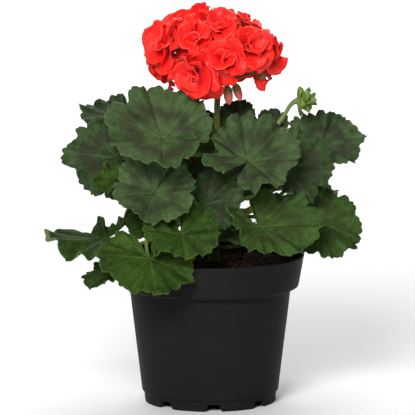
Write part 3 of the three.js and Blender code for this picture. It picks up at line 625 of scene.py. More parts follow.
# %% A tree that scatters loose bits on a surface
def scatter_tree():
    tree, given = new_tree(
        "scatter", Bit="Object", Lowest=0.094, Density=1000.0, Smallest=0.5, Largest=1.5, Lean=3.0, Seed=1,
        Skin="Material",
    )
    seed, lean = given["Seed"], given["Lean"]
    height = add(tree, "ShaderNodeSeparateXYZ", add(tree, "GeometryNodeInputPosition"), out="Z")
    on_top = add(tree, "FunctionNodeCompare", height, given["Lowest"], operation="GREATER_THAN")
    spots = add(
        tree, "GeometryNodeDistributePointsOnFaces", given["Geometry"], on_top, given["Density"], seed
    )
    # each bit leans either way and faces anywhere in a full turn
    most = add(tree, "ShaderNodeCombineXYZ", lean, lean, 6.283)
    turned = add(tree, CHANCE, (0, 0, 0), most, Seed=seed, data_type="FLOAT_VECTOR")
    turned = add(tree, "FunctionNodeEulerToRotation", turned)
    upright = spots.node.outputs["Rotation"]
    facing = add(tree, "FunctionNodeRotateRotation", upright, turned, rotation_space="LOCAL")
    size = add(tree, CHANCE, given["Smallest"], given["Largest"], Seed=seed)
    bit = add(tree, "GeometryNodeObjectInfo", given["Bit"], out="Geometry")
    copies = add(
        tree, "GeometryNodeInstanceOnPoints", Points=spots, Instance=bit, Rotation=facing, Scale=size
    )
    end_tree(tree, copies, given["Skin"])
    return tree


SCATTER = scatter_tree()
print("scatter tree:", len(SCATTER.nodes), "nodes")


# %% Small shapes to scatter
# three directions round a hair or a fibre, in radians
THIRDS = (0, 2.09, 4.19)


def pebble(name, length, width):
    """A rough little block: two squares, turned against each other, and two points."""
    ring = [(math.cos(t), math.sin(t)) for t in (0.3, 1.9, 3.4, 5.0)]
    points = [(0, 0, -width), (0.1, 0, width * 0.9)]
    points += [(length * x, width * y, -width * 0.3) for x, y in ring]
    points += [(length * 0.8 * x, width * 0.9 * y, width * 0.45) for x, y in ring]
    faces = []
    for i in range(4):
        j = (i + 1) % 4
        faces += [(0, 2 + j, 2 + i), (2 + i, 2 + j, 6 + j, 6 + i), (6 + i, 6 + j, 1)]
    return new_object(name, points, faces)


def thread(name, length, radius):
    """A bent fibre of three sides and six steps."""
    rows = []
    for t in np.linspace(0, 1, 7):
        bent = [length * (t - 0.5), 0.22 * length * math.sin(2.6 * t), 0.10 * length * math.sin(5 * t)]
        thin = radius * (0.25 + math.sin(math.pi * t))
        rows.append([bent + thin * np.array([0, math.cos(a), math.sin(a)]) for a in THIRDS])
    faces = grid_faces(7, 3, wrap=True) + [(0, 1, 2), (20, 19, 18)]
    return new_object(name, np.reshape(rows, (-1, 3)), faces)


# what it is, one bit with its sizes in mm, how many on a square metre, smallest and largest share of
# its size, lean in radians, seed, skin
SCATTERED = [
    ("crumbs", pebble("crumb", 0.9, 0.62), 42000, 0.35, 1.5, 3.1, 3, CRUMB),
    ("clods", pebble("clod", 1.9, 1.3), 5200, 0.5, 1.25, 3.1, 5, SOIL),
    ("fibres", thread("fibre", 6.5, 0.22), 5200, 0.4, 1.3, 0.5, 8, FIBRE),
    ("grains", pebble("grain", 0.8, 0.7), 1500, 0.5, 1.2, 3.1, 13, GRAIN),
]

# %% Scatter them on the soil
# bits that would reach into the pot's wall are moved in to this radius, in mm
POT_INSIDE = 62.4
for kind, bit, density, smallest, largest, lean, seed, skin in SCATTERED:
    bed = grow(
        show(f"soil_{kind}", soil.data), SCATTER, Bit=bit, Density=float(density), Smallest=smallest,
        Largest=largest, Lean=lean, Seed=seed, Skin=skin,
    )
    bpy.data.objects.remove(bit)
    points = points_of(bed)
    out = np.hypot(points[:, 0], points[:, 1])
    points[:, :2] *= (np.minimum(out, POT_INSIDE) / np.maximum(out, 1e-6))[:, None]
    move_points(bed, points)
    place(bed, "soil")
    print(bed.name, len(bed.data.polygons), "faces")


# %% [markdown]
# ## Stems and stalks
# A stem is a tube along a smooth route, thicker where leaves have stood. Blender's own curves
# could carry it, but a route that is worked out as points, each with its radius, passes exactly
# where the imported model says. A Geometry Nodes tree turns the points into a curve, sweeps a
# circle along it and closes its ends.

# %% Routes
def route(points, radii, steps=10):
    """A smooth line through the points (centripetal Catmull-Rom), and a radius at each of its points."""
    points = np.array(points, float)
    points = [2 * points[0] - points[1], *points, 2 * points[-1] - points[-2]]
    knots = [0.0]
    for a, b in zip(points, points[1:]):
        knots.append(knots[-1] + max(np.linalg.norm(b - a), 1e-6) ** 0.5)

    def blend(one, other, begin, end, t):
        return ((end - t) * one + (t - begin) * other) / (end - begin)

    line = []
    for i in range(len(points) - 3):
        p, k = points[i : i + 4], knots[i : i + 4]
        for t in np.linspace(k[1], k[2], steps, endpoint=i == len(points) - 4):
            a = [blend(p[j], p[j + 1], k[j], k[j + 1], t) for j in range(3)]
            b = [blend(a[j], a[j + 1], k[j], k[j + 2], t) for j in range(2)]
            line.append(blend(b[0], b[1], k[1], k[2], t))
    places = np.linspace(0, 1, len(line))
    return np.array(line), np.interp(places, np.linspace(0, 1, len(radii)), radii)


# %% A tree that sweeps a round stalk
def stalk_tree():
    tree, given = new_tree("stalk", Sides=12, Skin="Material")
    line = add(tree, "GeometryNodeMeshToCurve", given["Geometry"])
    radius = add(tree, MESH_VALUE, "thick")
    circle = add(tree, "GeometryNodeCurvePrimitiveCircle", Resolution=given["Sides"], Radius=1.0)
    swept = add(tree, "GeometryNodeCurveToMesh", line, circle, radius, True)
    end_tree(tree, swept, given["Skin"])
    return tree


STALK_TREE = stalk_tree()
print("stalk tree:", len(STALK_TREE.nodes), "nodes")


def stalk_piece(name, routes, skin, sides=12):
    """One mesh of all the stalks whose routes are given as (points, radii)."""
    points = np.concatenate([line for line, _ in routes])
    ends = np.cumsum([len(line) for line, _ in routes])
    edges = [(i, i + 1) for i in range(len(points)) if i + 1 not in ends]
    line = new_object(name, points, [], edges)
    set_attribute(line, "thick", np.concatenate([radii for _, radii in routes]) * MM)
    return grow(line, STALK_TREE, Sides=sides, Skin=skin)


# %% The main stem and its branches
LEFT_BRANCH_END, RIGHT_BRANCH_END, BACK_BRANCH_END = [-20, -16, 132], [36, 6, 136], [2, 38, 134]
BRANCH_RADII = [2.6, 2.4, 2.4, 2.9]
# points from foot to end, then radii that are spread evenly over the whole length
STEM_ROUTES = [
    route(
        [[3, 5, 88], [2.6, 5, 100], [2.5, 5, 108], [2, 5, 114], [2, 5, 121], [2, 5, 128]],
        [3.9, 3.8, 3.75, 4.6, 3.9, 3.6],
    ),
    route(
        [[2, 5, 124], [1.6, 5.5, 134], [1.5, 5.6, 138], [1.3, 5.8, 146], [1.8, 6, 158], [2.3, 5.8, 162],
         [3, 5.2, 170], [5, 4, 184]],
        [3.5, 3.2, 3.9, 3.1, 3.1, 3.7, 3.0, 2.7],
    ),
    route([[2, 5, 114], [-9, -5, 124], LEFT_BRANCH_END], BRANCH_RADII),
    route([[2, 5, 120], [19, 6, 128], RIGHT_BRANCH_END], BRANCH_RADII),
    route([[2, 5, 112], [3, 22, 122], BACK_BRANCH_END], BRANCH_RADII),
]
stem = stalk_piece("main_stem", STEM_ROUTES, STEM, sides=20)
place(stem, "stem")
print("stem:", len(stem.data.polygons), "faces")


# %% [markdown]
# ## The leaves
# A zonal leaf is a round fan of seven veins about its hub, with a slit at the back. Between the
# veins the edge dips, so there are seven broad lobes, and every lobe has small rounded teeth. No
# two leaves are alike, but all follow one rule, so a table holds what differs: the hub, the way
# that its tip and upper face point, how far each vein runs and how its end rises.

# %% The leaves' places and forms
# In mm and degrees. reach and lift: how far each of the seven veins runs, as a share of the radius,
# and how much its end rises. sweep: the angle from the middle vein to the slit. notches: vein, depth
# and width. start, over, tuck: where the stalk leaves the stem, what it passes, and how far behind
# the blade it ends. tone: how strongly the brown ring shows, and how light and fresh the green is;
# for leaf_left_far its darkest tone is painted shade
LEAVES = {
    "leaf_left_high": dict(
        hub=[-32, -34, 187], tip=[-0.95, 0.24, 0.22], face=[0.02, -0.62, 0.78], radius=40, sweep=184,
        reach=[0.88, 0.98, 1.02, 1.04, 0.96, 1, 0.84], lift=[26, 24, 18, 12, 12, 16, 26], overlap=0.1,
        start=[2, 5, 169], tone=(0.75, 0.42),
    ),
    "leaf_left_far": dict(
        hub=[-64, -14, 171], tip=[-0.95, 0.3, -0.02], face=[-0.28, -0.8, 0.5], radius=37, sweep=166,
        reach=[0.8, 0.8, 0.86, 1.05, 0.84, 0.76, 0.7], lift=[15, 15, 15, 8, -24, -46, -40],
        # the strongest ring and no fresh green: painted shade for lobes that turn away from the light
        notches=[[0.6, 0.12, 0.18]], start=[2, 5, 145], tone=(1.0, 0.0),
    ),
    "leaf_left_middle": dict(
        hub=[-38, -42, 151], tip=[-0.26, -0.65, -0.72], face=[0.02, -0.74, 0.66], radius=29, sweep=200,
        reach=[0.92, 1, 1, 1, 1.05, 1.05, 0.92], lift=[20, 14, 6, 4, 6, 14, 16], funnel=26, overlap=-0.2,
        start=[2, 5, 131], tone=(0.6, 0.4),
    ),
    "leaf_left_edge": dict(
        hub=[-61, 21, 195], tip=[-0.99, 0.11, 0.03], face=[-0.03, -0.34, 1], radius=29, sweep=160,
        reach=[0.7, 0.65, 0.7, 1, 1.1, 0.9, 0.8], lift=[20, 20, 15, 12, 5, -5, -5], lobes=0.05, waves=0.9,
        start=[2, 5, 165], tone=(0.6, 0.0),
    ),
    "leaf_middle_high": dict(
        hub=[26, -36, 172], tip=[0.6, 0.62, 0.51], face=[0.1, -0.68, 0.72], radius=36, sweep=168,
        reach=[0.82, 0.85, 0.98, 1.03, 0.92, 0.88, 1], lift=[0, 5, 14, 18, 22, 24, 10],
        notches=[[2.5, 0.3, 0.2]], start=[2, 5, 150], tone=(0.75, 0.35),
    ),
    "leaf_right_high": dict(
        hub=[77, 14, 174.5], tip=[0.97, 0.25, 0.03], face=[0.12, -0.55, 0.82], radius=32, sweep=165,
        reach=[0.7, 0.62, 0.8, 0.97, 0.92, 0.84, 0.95], lift=[0, 0, 4, 12, 20, 28, 28],
        notches=[[1.5, 0.12, 0.12]], start=[36, 6, 136], tone=(0.9, 0.3),
    ),
    "leaf_right_dark": dict(
        hub=[55, -14, 160.5], tip=[0.78, 0.49, 0.38], face=[0.12, -0.72, 0.68], radius=34, sweep=165,
        reach=[0.6, 0.8, 0.85, 1.02, 0.95, 1.2, 1], lift=[5, 0, 0, 8, 18, 20, 20],
        notches=[[-1.5, 0.22, 0.2]], start=[2, 5, 134], tone=(0.9, 0.05),
    ),
    "leaf_middle_low": dict(
        hub=[-4, -27, 140.5], tip=[0.98, -0.02, 0.21], face=[-0.12, -0.88, 0.45], radius=28, sweep=168,
        reach=[0.3, 0.7, 0.9, 1, 0.95, 0.7, 0.3], lift=[-20, -5, 0, 5, 5, -10, -30], start=[2, 5, 122],
        tone=(0.8, 0.0),
    ),
    "leaf_right_low": dict(
        hub=[33, -42, 127.5], tip=[0.61, -0.6, -0.52], face=[0.05, -0.62, 0.78], radius=36, sweep=168,
        reach=[0.78, 0.5, 0.68, 0.85, 1.26, 0.95, 0.72], lift=[35, 20, -10, -20, 0, 10, 14], pleat=0.05,
        waves=1.2, start=[2, 5, 104], tone=(0.6, 0.35), low=True,
    ),
    "leaf_right_droop": dict(
        hub=[74, -16, 127], tip=[0.9, 0.09, -0.44], face=[0.3, -0.85, 0.45], radius=30, sweep=168,
        reach=[0.7, 0.8, 0.95, 1.08, 0.92, 0.85, 0.85], lift=[10, 0, 0, 0, 0, 0, 10], start=[36, 6, 136],
        over=[60, -2, 143], tone=(0.6, 0.2), low=True,
    ),
    "leaf_right_olive": dict(
        hub=[73, 12, 134], tip=[0.57, 0.79, 0.23], face=[0.3, -0.45, 0.8], radius=19, start=[36, 6, 132],
        low=True,
    ),
    "leaf_over_rim": dict(
        hub=[-41, -60, 109], tip=[0.16, -0.7, -0.7], face=[-0.05, -0.72, 0.7], radius=33, sweep=158,
        reach=[0.85, 1.15, 0.9, 1.05, 1.02, 0.88, 0.5], lift=[15, 12, 0, -8, -8, -12, -16], waves=1.05,
        start=[-20, -16, 132], over=[-43, -46, 122], tone=(0.35, 0.05), young=True,
    ),
    "leaf_left_folded": dict(
        hub=[-60, -44, 100], tip=[-0.75, -0.31, -0.59], face=[-0.5, -0.3, 0.8], radius=26,
        reach=[0.8, 0.9, 0.9, 1.1, 0.9, 0.9, 0.8], start=[2, 5, 107], over=[-50, -34, 114], tuck=3,
        tone=(0.6, 0.0), low=True,
    ),
    "leaf_front_bright": dict(
        hub=[-20, -57.5, 125], tip=[0.2, -0.76, -0.62], face=[0.05, -0.62, 0.78], radius=27, sweep=172,
        reach=[1, 0.95, 0.95, 1, 1, 0.95, 1], lift=[10, 2, 2, 4, 4, 10, 14], waves=1.3, start=[2, 5, 105],
        tuck=5, tone=(0.4, 0.05), young=True,
    ),
    "leaf_left_low": dict(
        hub=[-71, -22, 117], tip=[-0.99, 0.04, -0.09], face=[-0.1, -0.22, 0.97], radius=34, sweep=170,
        reach=[0.9, 0.5, 0.6, 1.2, 1.1, 0.9, 0.6], lift=[68, 15, 0, 10, 4, -5, -5],
        notches=[[-1.5, 0.3, 0.2]], funnel=6, waves=1.9, start=[1.4, 5, 112], over=[-38, -10, 120], tuck=3,
        tone=(0.3, 0.1), low=True,
    ),
    "leaf_behind_stalk": dict(
        hub=[20, 14, 191], tip=[-0.35, 0.49, 0.8], face=[-0.05, -0.85, 0.5], radius=17, sweep=160,
        reach=[0.6, 0.7, 1, 1, 1, 1, 1], start=[5, 4, 172],
    ),
    "leaf_left_small": dict(
        hub=[-41, -23.5, 125.5], tip=[-0.94, 0.3, 0.15], face=[-0.2, -0.85, 0.45], radius=17,
        reach=[0.8, 0.8, 0.8, 1, 0.85, 0.6, 0.5], start=[-20, -16, 129], tone=(0.3, 0.0), young=True,
    ),
    "leaf_heart_small": dict(
        hub=[3, -4, 178], tip=[-0.15, 0.61, 0.78], face=[-0.1, -0.8, 0.6], radius=12, start=[3, 5, 168],
        young=True,
    ),
    "leaf_right_heart": dict(
        hub=[29, 14, 154], tip=[0, -0.36, -0.93], face=[0.05, -0.92, 0.35], radius=19, start=[2, 5, 146],
        over=[20, 14, 156],
    ),
    "leaf_low_heart": dict(
        hub=[18, -11, 119], tip=[0.78, -0.5, -0.38], face=[0, -0.6, 0.8], radius=15, start=[2, 5, 109],
    ),
    "leaf_frilly": dict(
        hub=[-68, -33, 159.5], tip=[-0.88, 0.39, 0.26], face=[-0.28, -0.8, 0.5], radius=11, pleat=0.1,
        lobes=0.34, waves=3.2, start=[2, 5, 138], over=[-54, -32, 142], tuck=2, young=True,
    ),
    "leaf_right_tuft": dict(
        hub=[43, 18, 190], tip=[0.14, 0.7, 0.7], face=[0, -0.7, 0.7], radius=12, start=[4, 5, 176],
    ),
    "leaf_shaded_high": dict(
        hub=[-8, 16, 182], tip=[-0.85, 0.46, 0.24], face=[-0.1, -0.6, 0.8], radius=22,
        reach=[1, 1, 1, 1, 0.7, 0.5, 0.5], start=[3, 5, 162],
    ),
    "leaf_shaded_low": dict(
        hub=[-8, -2, 158], tip=[-0.3, 0.6, 0.74], face=[-0.1, -0.8, 0.6], radius=17, start=[2, 5, 147],
    ),
    "leaf_back_left_high": dict(
        hub=[-45, 43, 171], tip=[-0.6, 0.9, -0.1], face=[-0.25, 0.6, 0.78], radius=29, sweep=176,
        start=[2, 6, 153],
    ),
    "leaf_back_middle_high": dict(
        hub=[20, 46, 160], tip=[0.3, 0.9, -0.3], face=[0.1, 0.62, 0.78], radius=33, sweep=176,
        start=[2, 38, 134],
    ),
    "leaf_back_right_high": dict(
        hub=[60, 41, 138], tip=[1, 0.4, -0.2], face=[0.45, 0.5, 0.74], radius=29, start=[2, 5, 130],
    ),
    "leaf_back_left": dict(
        hub=[-62, 22, 150], tip=[-1, 0.5, -0.3], face=[-0.5, 0.45, 0.72], radius=24, waves=0.5,
        start=[2, 5, 127],
    ),
    "leaf_back_left_low": dict(
        hub=[-30, 56, 124], tip=[-0.3, 0.8, -0.6], face=[-0.15, 0.75, 0.64], radius=29, start=[2, 30, 128],
    ),
    "leaf_back_right_low": dict(
        hub=[64, 50, 108], tip=[0.5, 0.7, -0.5], face=[0.35, 0.65, 0.68], radius=27, start=[2, 24, 122],
        over=[46, 36, 120], tuck=4,
    ),
    "leaf_back_low": dict(
        hub=[2, 66, 108], tip=[0.1, 0.8, -0.7], face=[0.05, 0.8, 0.6], radius=24, start=[2, 38, 131],
    ),
    "leaf_back_top": dict(
        hub=[2, 33, 184], tip=[0.1, 0.8, -0.1], face=[0.05, 0.5, 0.85], radius=15, start=[3, 6, 160],
    ),
}
print("leaves in the table:", len(LEAVES))


# %% Leaf axes and values between the veins
def leaf_axes(leaf):
    face = unit(leaf["face"])
    tip = np.array(leaf["tip"], float)
    tip = unit(tip - face * tip.dot(face))
    return tip, np.cross(face, tip), face


def along_veins(values, vein):
    """A smooth value between the seven that are given for veins -3 to 3."""
    values = np.array(values, float)
    place_in = np.clip(vein + 3, 0, 6)
    i = np.minimum(place_in.astype(int), 5)
    t = place_in - i
    before, here, after, later = [values[np.clip(i + step, 0, 6)] for step in (-1, 0, 1, 2)]
    square = 2 * before - 5 * here + 4 * after - later
    cube = 3 * here - before - 3 * after + later
    return 0.5 * (2 * here + (after - before) * t + square * t**2 + cube * t**3)


# %% [markdown]
# The margin is a sum of small rules: the fan is rounded off at the slit, each lobe ends in a dip of
# its own depth, each vein reaches a little more or less, and each lobe has three shallow scallops.
# A seeded random source gives every leaf other numbers, in the same order each run.

# %% The leaf's margin
# the fan is rounded off from this vein on
ROUNDED_FROM = 2.75


def waves(times, vein, chance):
    return np.sin(2 * math.pi * times * vein + chance.uniform(0, 6.28))


def margin(leaf, vein, chance):
    """How far the blade reaches, as a share of what its vein gives."""
    corner = np.clip((np.abs(vein) - ROUNDED_FROM) / (LAST_VEIN - ROUNDED_FROM), 0, 1)
    edge = 1.02 * np.sqrt(1 - 0.62 * corner**2)
    # the dips between the lobes
    for dip in np.arange(-2.5, 3):
        middle = dip + chance.uniform(-0.1, 0.1)
        width = chance.uniform(0.08, 0.16)
        deep = leaf.get("lobes", 0.13) * chance.uniform(0.35, 1.25)
        edge = edge - deep * np.exp(-np.abs((vein - middle) / width) ** 1.6)
    # no two lobes reach equally far
    for main in range(-3, 4):
        edge = edge + chance.uniform(-0.035, 0.035) * np.exp(-(((vein - main) / 0.3) ** 2))
    for times in (2.3, 3.7):
        edge = edge + 0.012 * waves(times, vein, chance)
    # three scallops on each lobe, a little out of step
    drift = 0.12 * np.sin(2.9 * vein + chance.uniform(0, 6.28))
    scallops = np.abs(np.sin(math.pi * (3 * vein + 0.5 + drift))) ** 0.5
    edge = edge + 0.008 - 0.034 * (1 - scallops)
    for at, depth, width in leaf.get("notches", []):
        edge = edge * (1 - depth * np.exp(-(((vein - at) / width) ** 2)))
    return edge


# %% [markdown]
# The blade leaves its hub as a funnel and bends to the rise that the table gives. Arcs do that: at
# each share of its length a vein has turned by that share of its bend. On top lie folds along the
# veins, the overlap at the slit, and four waves of the margin, the finer ones nearer to the edge.

# %% The blade's surface
SWEEP, FUNNEL, LIFT, PLEAT = 172, 18, [12] * 7, 0.024
# waves in one vein's width, their height as a share of the radius, and how late they rise
MARGIN_WAVES = ((0.55, 0.07, 1.6), (1.1, 0.055, 2.0), (1.9, 0.045, 2.6), (3.3, 0.022, 3.2))


def blade_points(leaf, vein, share, chance):
    radius = leaf["radius"]
    length = radius * along_veins(leaf.get("reach", [1] * 7), vein) * margin(leaf, vein, chance)
    start = math.radians(leaf.get("funnel", FUNNEL))
    bend = np.radians(along_veins(leaf.get("lift", LIFT), vein)) - start
    bend = np.where(np.abs(bend) < 1e-3, 1e-3, bend)
    run = length * (np.sin(start + bend * share) - math.sin(start)) / bend
    rise = length * (math.cos(start) - np.cos(start + bend * share)) / bend

    folds = (1.5 * np.abs(np.sin(math.pi * vein)) - 0.9) * share * (1.2 - 0.4 * share)
    slit = np.sign(vein) * np.abs(vein / LAST_VEIN) ** 5 * share
    rise = rise + radius * (leaf.get("pleat", PLEAT) * folds + leaf.get("overlap", 0) * slit)
    for times, height, late in MARGIN_WAVES:
        rise = rise + radius * leaf.get("waves", 1) * height * waves(times, vein, chance) * share**late

    turn = vein * math.radians(leaf.get("sweep", SWEEP)) / LAST_VEIN
    steps = zip((run * np.cos(turn), run * np.sin(turn), rise), leaf_axes(leaf))
    return np.array(leaf["hub"], float) + sum(step[..., None] * axis for step, axis in steps)


# %% [markdown]
# The small relief would be heavy to work out for each leaf, so it is a Geometry Nodes tree: rounded
# teeth round the edge, troughs along the veins with swollen tissue between them, and a ruffle that
# grows towards the margin. Arches side by side, |sin| to a power, make the teeth and the tissue.

# %% Arches and teeth
def arches(tree, vein, beat, power):
    wave = add(tree, MATH, vein, beat, operation="MULTIPLY")
    wave = add(tree, MATH, wave, operation="SINE")
    wave = add(tree, MATH, wave, operation="ABSOLUTE")
    return add(tree, MATH, wave, power, operation="POWER")


def teeth(tree, given, here, vein, share):
    """Moves the points near the edge towards the hub, least in the middle of a tooth."""
    beat = add(tree, MATH, given["Teeth"], math.pi, operation="MULTIPLY")
    dent = add(tree, MATH, 1.0, arches(tree, vein, beat, 0.5), operation="SUBTRACT")
    near_edge = add(tree, MATH, share, 11.0, operation="POWER")
    for factor in (near_edge, given["Tooth depth"]):
        dent = add(tree, MATH, dent, factor, operation="MULTIPLY")
    inward = add(tree, VECTOR, given["Hub"], here, operation="SUBTRACT")
    return add(tree, VECTOR, inward, dent, operation="SCALE")


# %% A tree for the blade's relief
def relief_tree():
    tree, given = new_tree(
        "leaf relief", Hub=(0.0, 0.0, 0.0), Teeth=6.0, Tooth_depth=0.05, Swell=0.0004, Ruffle=0.0013,
        Thickness=0.0005, Seed=0.0, Skin="Material", Underside="Material",
    )
    vein, share = [add(tree, MESH_VALUE, name) for name in ("vein", "share")]
    here = add(tree, "GeometryNodeInputPosition")

    # the tissue swells between the main veins, further out between the forks, last between the twigs
    swell = 0.0
    for times, begins, amount in ((1, 0.0, 1.0), (2, 0.3, 0.6), (4, 0.55, 0.45)):
        grown = add(tree, RANGE, share, begins, 1.0, 0.0, amount)
        cross = arches(tree, vein, math.pi * times, 0.6)
        swell = add(tree, MATH, cross, grown, swell, operation="MULTIPLY_ADD")
    # lumps of 6 mm all over
    lumps = about_zero(tree, here, given["Seed"], 160.0, 2.0)
    height = add(tree, MATH, swell, lumps, operation="ADD")
    height = add(tree, MATH, height, given["Swell"], operation="MULTIPLY")
    # a ruffle of 18 mm near the margin
    folds = about_zero(tree, here, given["Seed"], 55.0, 1.0)
    outer = add(tree, MATH, share, 3.0, operation="POWER")
    ruffle = add(tree, MATH, given["Ruffle"], 4.0, operation="MULTIPLY")
    for factor in (folds, outer):
        ruffle = add(tree, MATH, ruffle, factor, operation="MULTIPLY")
    height = add(tree, MATH, height, ruffle, operation="ADD")
    # the sheet sinks by half its thickness, which it gains again above
    height = add(tree, MATH, given["Thickness"], -0.5, height, operation="MULTIPLY_ADD")

    outward = add(tree, VECTOR, add(tree, "GeometryNodeInputNormal"), height, operation="SCALE")
    move = add(tree, VECTOR, outward, teeth(tree, given, here, vein, share), operation="ADD")
    sheet = add(tree, "GeometryNodeSetPosition", given["Geometry"], Offset=move)
    closed = thicken(tree, sheet, given["Thickness"], 0.000002)
    end_tree(tree, closed, given["Skin"], given["Underside"])
    return tree


RELIEF = relief_tree()
print("relief tree:", len(RELIEF.nodes), "nodes")


# %% Grow a leaf's blade and its stalk
SMALL_RADIUS, USUAL_RADIUS = 25, 35
YOUNG_RING = 0.4


def blade_piece(number, name, leaf):
    # a small leaf's teeth need fewer points
    rows, columns = (12, 190) if leaf["radius"] <= SMALL_RADIUS else (18, 270)
    # from the last vein to the first, so that the upper face points outwards, and from a little way
    # out, because all veins meet at the hub itself
    turns = np.linspace(FIRST_VEIN, LAST_VEIN, columns)[::-1]
    vein, share = np.meshgrid(turns, np.linspace(0.015, 1, rows))
    points = blade_points(leaf, vein, share, np.random.default_rng(100 + number))
    blade = sheet_object(f"{name}_blade", points, vein, share)
    set_attribute(blade, "vein", vein.ravel())
    young, (ring, fresh) = leaf.get("young"), leaf.get("tone", (0.7, 0.15))
    set_attribute(blade, "zone", ring * (YOUNG_RING if young else 1))
    set_attribute(blade, "fresh", fresh)
    size = leaf["radius"] / USUAL_RADIUS
    return grow(
        blade, RELIEF, Hub=[c * MM for c in leaf["hub"]], Swell=0.0004 * size, Ruffle=0.0013 * size,
        Seed=number * 7.3, Skin=YOUNG_LEAF if young else LOWER_LEAF if leaf.get("low") else LEAF,
        Underside=UNDERSIDE,
    )


def leaf_stalk(name, leaf):
    """It leaves the stem with a thick foot, and meets the hub from behind the blade."""
    face = leaf_axes(leaf)[2]
    start, hub = np.array(leaf["start"], float), np.array(leaf["hub"], float)
    long = np.linalg.norm(hub - start)
    away = unit((hub - start) * [1, 1, 0])
    thick = 1.1 if leaf["radius"] <= SMALL_RADIUS else 1.5
    # the foot stands in the side of the stem, and the stalk leaves it outwards and a little upwards
    foot = start + 2.2 * away + [0, 0, 0.6]
    near = start + (4.6 + thick) * away + [0, 0, 2]
    over = [leaf["over"]] if "over" in leaf else []
    under = hub - face * leaf.get("tuck", 0.16 * long + 2)
    radii = [thick * share for share in (1.35, 1, 0.9, 0.85, 0.8)]
    line = route([foot, near, *over, under, hub - 0.15 * face], radii)
    return stalk_piece(f"{name}_stalk", [line], LEAF_STALK, sides=9)


# %% Grow the leaves
faces = []
for number, (name, leaf) in enumerate(LEAVES.items()):
    whole = join(f"{name}_grown", [blade_piece(number, name, leaf), leaf_stalk(name, leaf)])
    place(whole, name)
    faces.append(len(whole.data.polygons))
print(len(faces), "leaves,", sum(faces), "faces")


# %% [markdown]
# ## The flowers
# Each flower is double: fifteen rounded petals in layers, flat and wide outside, upright and small
# about the heart. One petal is a thin fan with a rounded end, bent along its length and cupped
# across. A cloth simulation could fold such petals, but not where the flower needs them. So a
# layer is one petal, repeated round the flower's axis by a Geometry Nodes tree, with a little
# chance in each petal's turn, tilt and size. The same tree crumples the petals and thickens them.

# %% The whorl tree
def whorl_tree():
    """Turn, Tilt and Twist are in radians, Grain counts the crumples in a metre."""
    tree, given = new_tree(
        "whorl", Count=5, Turn=0.0, Tilt=0.1, Twist=0.1, Smallest=0.9, Largest=1.08, Crumple=0.001,
        Grain=90.0, Thickness=0.00035, Seed=1, Skin="Material",
    )
    seed = given["Seed"]
    astray = add(tree, CHANCE, -0.16, 0.16, Seed=seed)
    number = add(tree, MATH, add(tree, "GeometryNodeInputIndex"), astray, operation="ADD")
    step = add(tree, MATH, 2 * math.pi, given["Count"], operation="DIVIDE")
    angle = add(tree, MATH, number, step, given["Turn"], operation="MULTIPLY_ADD")
    # the two swings of a petal have seeds of their own, so that they don't go together
    swings = []
    for most, other in ((given["Tilt"], 17.0), (given["Twist"], 40.0)):
        least = add(tree, MATH, most, -1.0, operation="MULTIPLY")
        own_seed = add(tree, MATH, seed, other, operation="ADD")
        swings.append(add(tree, CHANCE, least, most, Seed=own_seed))
    facing = add(tree, "FunctionNodeEulerToRotation", add(tree, "ShaderNodeCombineXYZ", *swings, angle))
    copies = add(
        tree, "GeometryNodeInstanceOnPoints", Points=add(tree, "GeometryNodePoints", given["Count"]),
        Instance=given["Geometry"], Rotation=facing,
        Scale=add(tree, CHANCE, given["Smallest"], given["Largest"], Seed=seed),
    )
    loose = add(tree, "GeometryNodeRealizeInstances", copies)

    # a petal is firm at its root and crumples more the further out it is
    crumple = about_zero(tree, add(tree, "GeometryNodeInputPosition"), seed, given["Grain"], 2.0)
    for factor in (given["Crumple"], add(tree, MESH_VALUE, "share")):
        crumple = add(tree, MATH, crumple, factor, operation="MULTIPLY")
    offset = add(tree, VECTOR, add(tree, "GeometryNodeInputNormal"), crumple, operation="SCALE")
    sheet = add(tree, "GeometryNodeSetPosition", loose, Offset=offset)
    end_tree(tree, thicken(tree, sheet, given["Thickness"], 0.000001), given["Skin"])
    return tree


WHORL = whorl_tree()
print("whorl tree:", len(WHORL.nodes), "nodes")


# %% One petal
def petal(length, width, base, tip, cup, curl=0.0, ruffle=0.0, rows=11, columns=15, point=0.45):
    """Grid, across and along of a petal that rises from the origin and leans out along +Y. It has
    the angle base at its root and tip at its end, in degrees from upright to level."""
    a, s = np.meshgrid(np.linspace(-1, 1, columns), np.linspace(0, 1, rows))
    # a narrow root that widens quickly, and an end that falls back at its sides
    swing = a * math.pi / 2
    half_width = width * (0.1 + 0.9 * s**0.75) * (1.2 - 0.2 * s)
    fore = s - point * (1 - np.cos(swing)) * s**2.2
    # the same bend for each step along it
    start, bend = math.radians(base), math.radians(tip - base)
    angle = start + bend * fore
    out = length * (math.cos(start) - np.cos(angle)) / bend
    rise = length * (np.sin(angle) - math.sin(start)) / bend
    # its sides rise, its middle is creased, its end curls back and its edge is ruffled
    lift = cup * half_width * np.sin(swing) ** 2 * (0.4 + 0.6 * s)
    lift = lift + 0.16 * half_width * np.abs(np.sin(swing)) * s - curl * width * s**5
    lift = lift + ruffle * width * s**3 * (np.sin(4.4 * swing + 1.3) + 0.6 * np.sin(9.5 * swing))
    across = half_width * np.sin(swing)
    return np.stack([across, out - lift * np.cos(angle), rise + lift * np.sin(angle)], 2), a, s


def whorl(name, shape, **values):
    return grow(sheet_object(name, *shape), WHORL, **values)


# %% [markdown]
# The flowers stand on an umbel: each at the end of its own stalk, all about one middle, so that
# they make a flattened ball. In the real head the petals push each other aside. A collision
# simulation could do that. A rule does it as well here: past the plane half-way to a neighbour,
# petals are pressed back, the more the further they go.

# %% The flowers' places
UMBEL_ROOT = np.array([5.5, 0, 221])
UMBEL_MIDDLE = np.array([4, 0, 241])
# how far from that middle the flowers' bases are, along X, Y and Z
UMBEL_REACH = np.array([35, 31, 22])
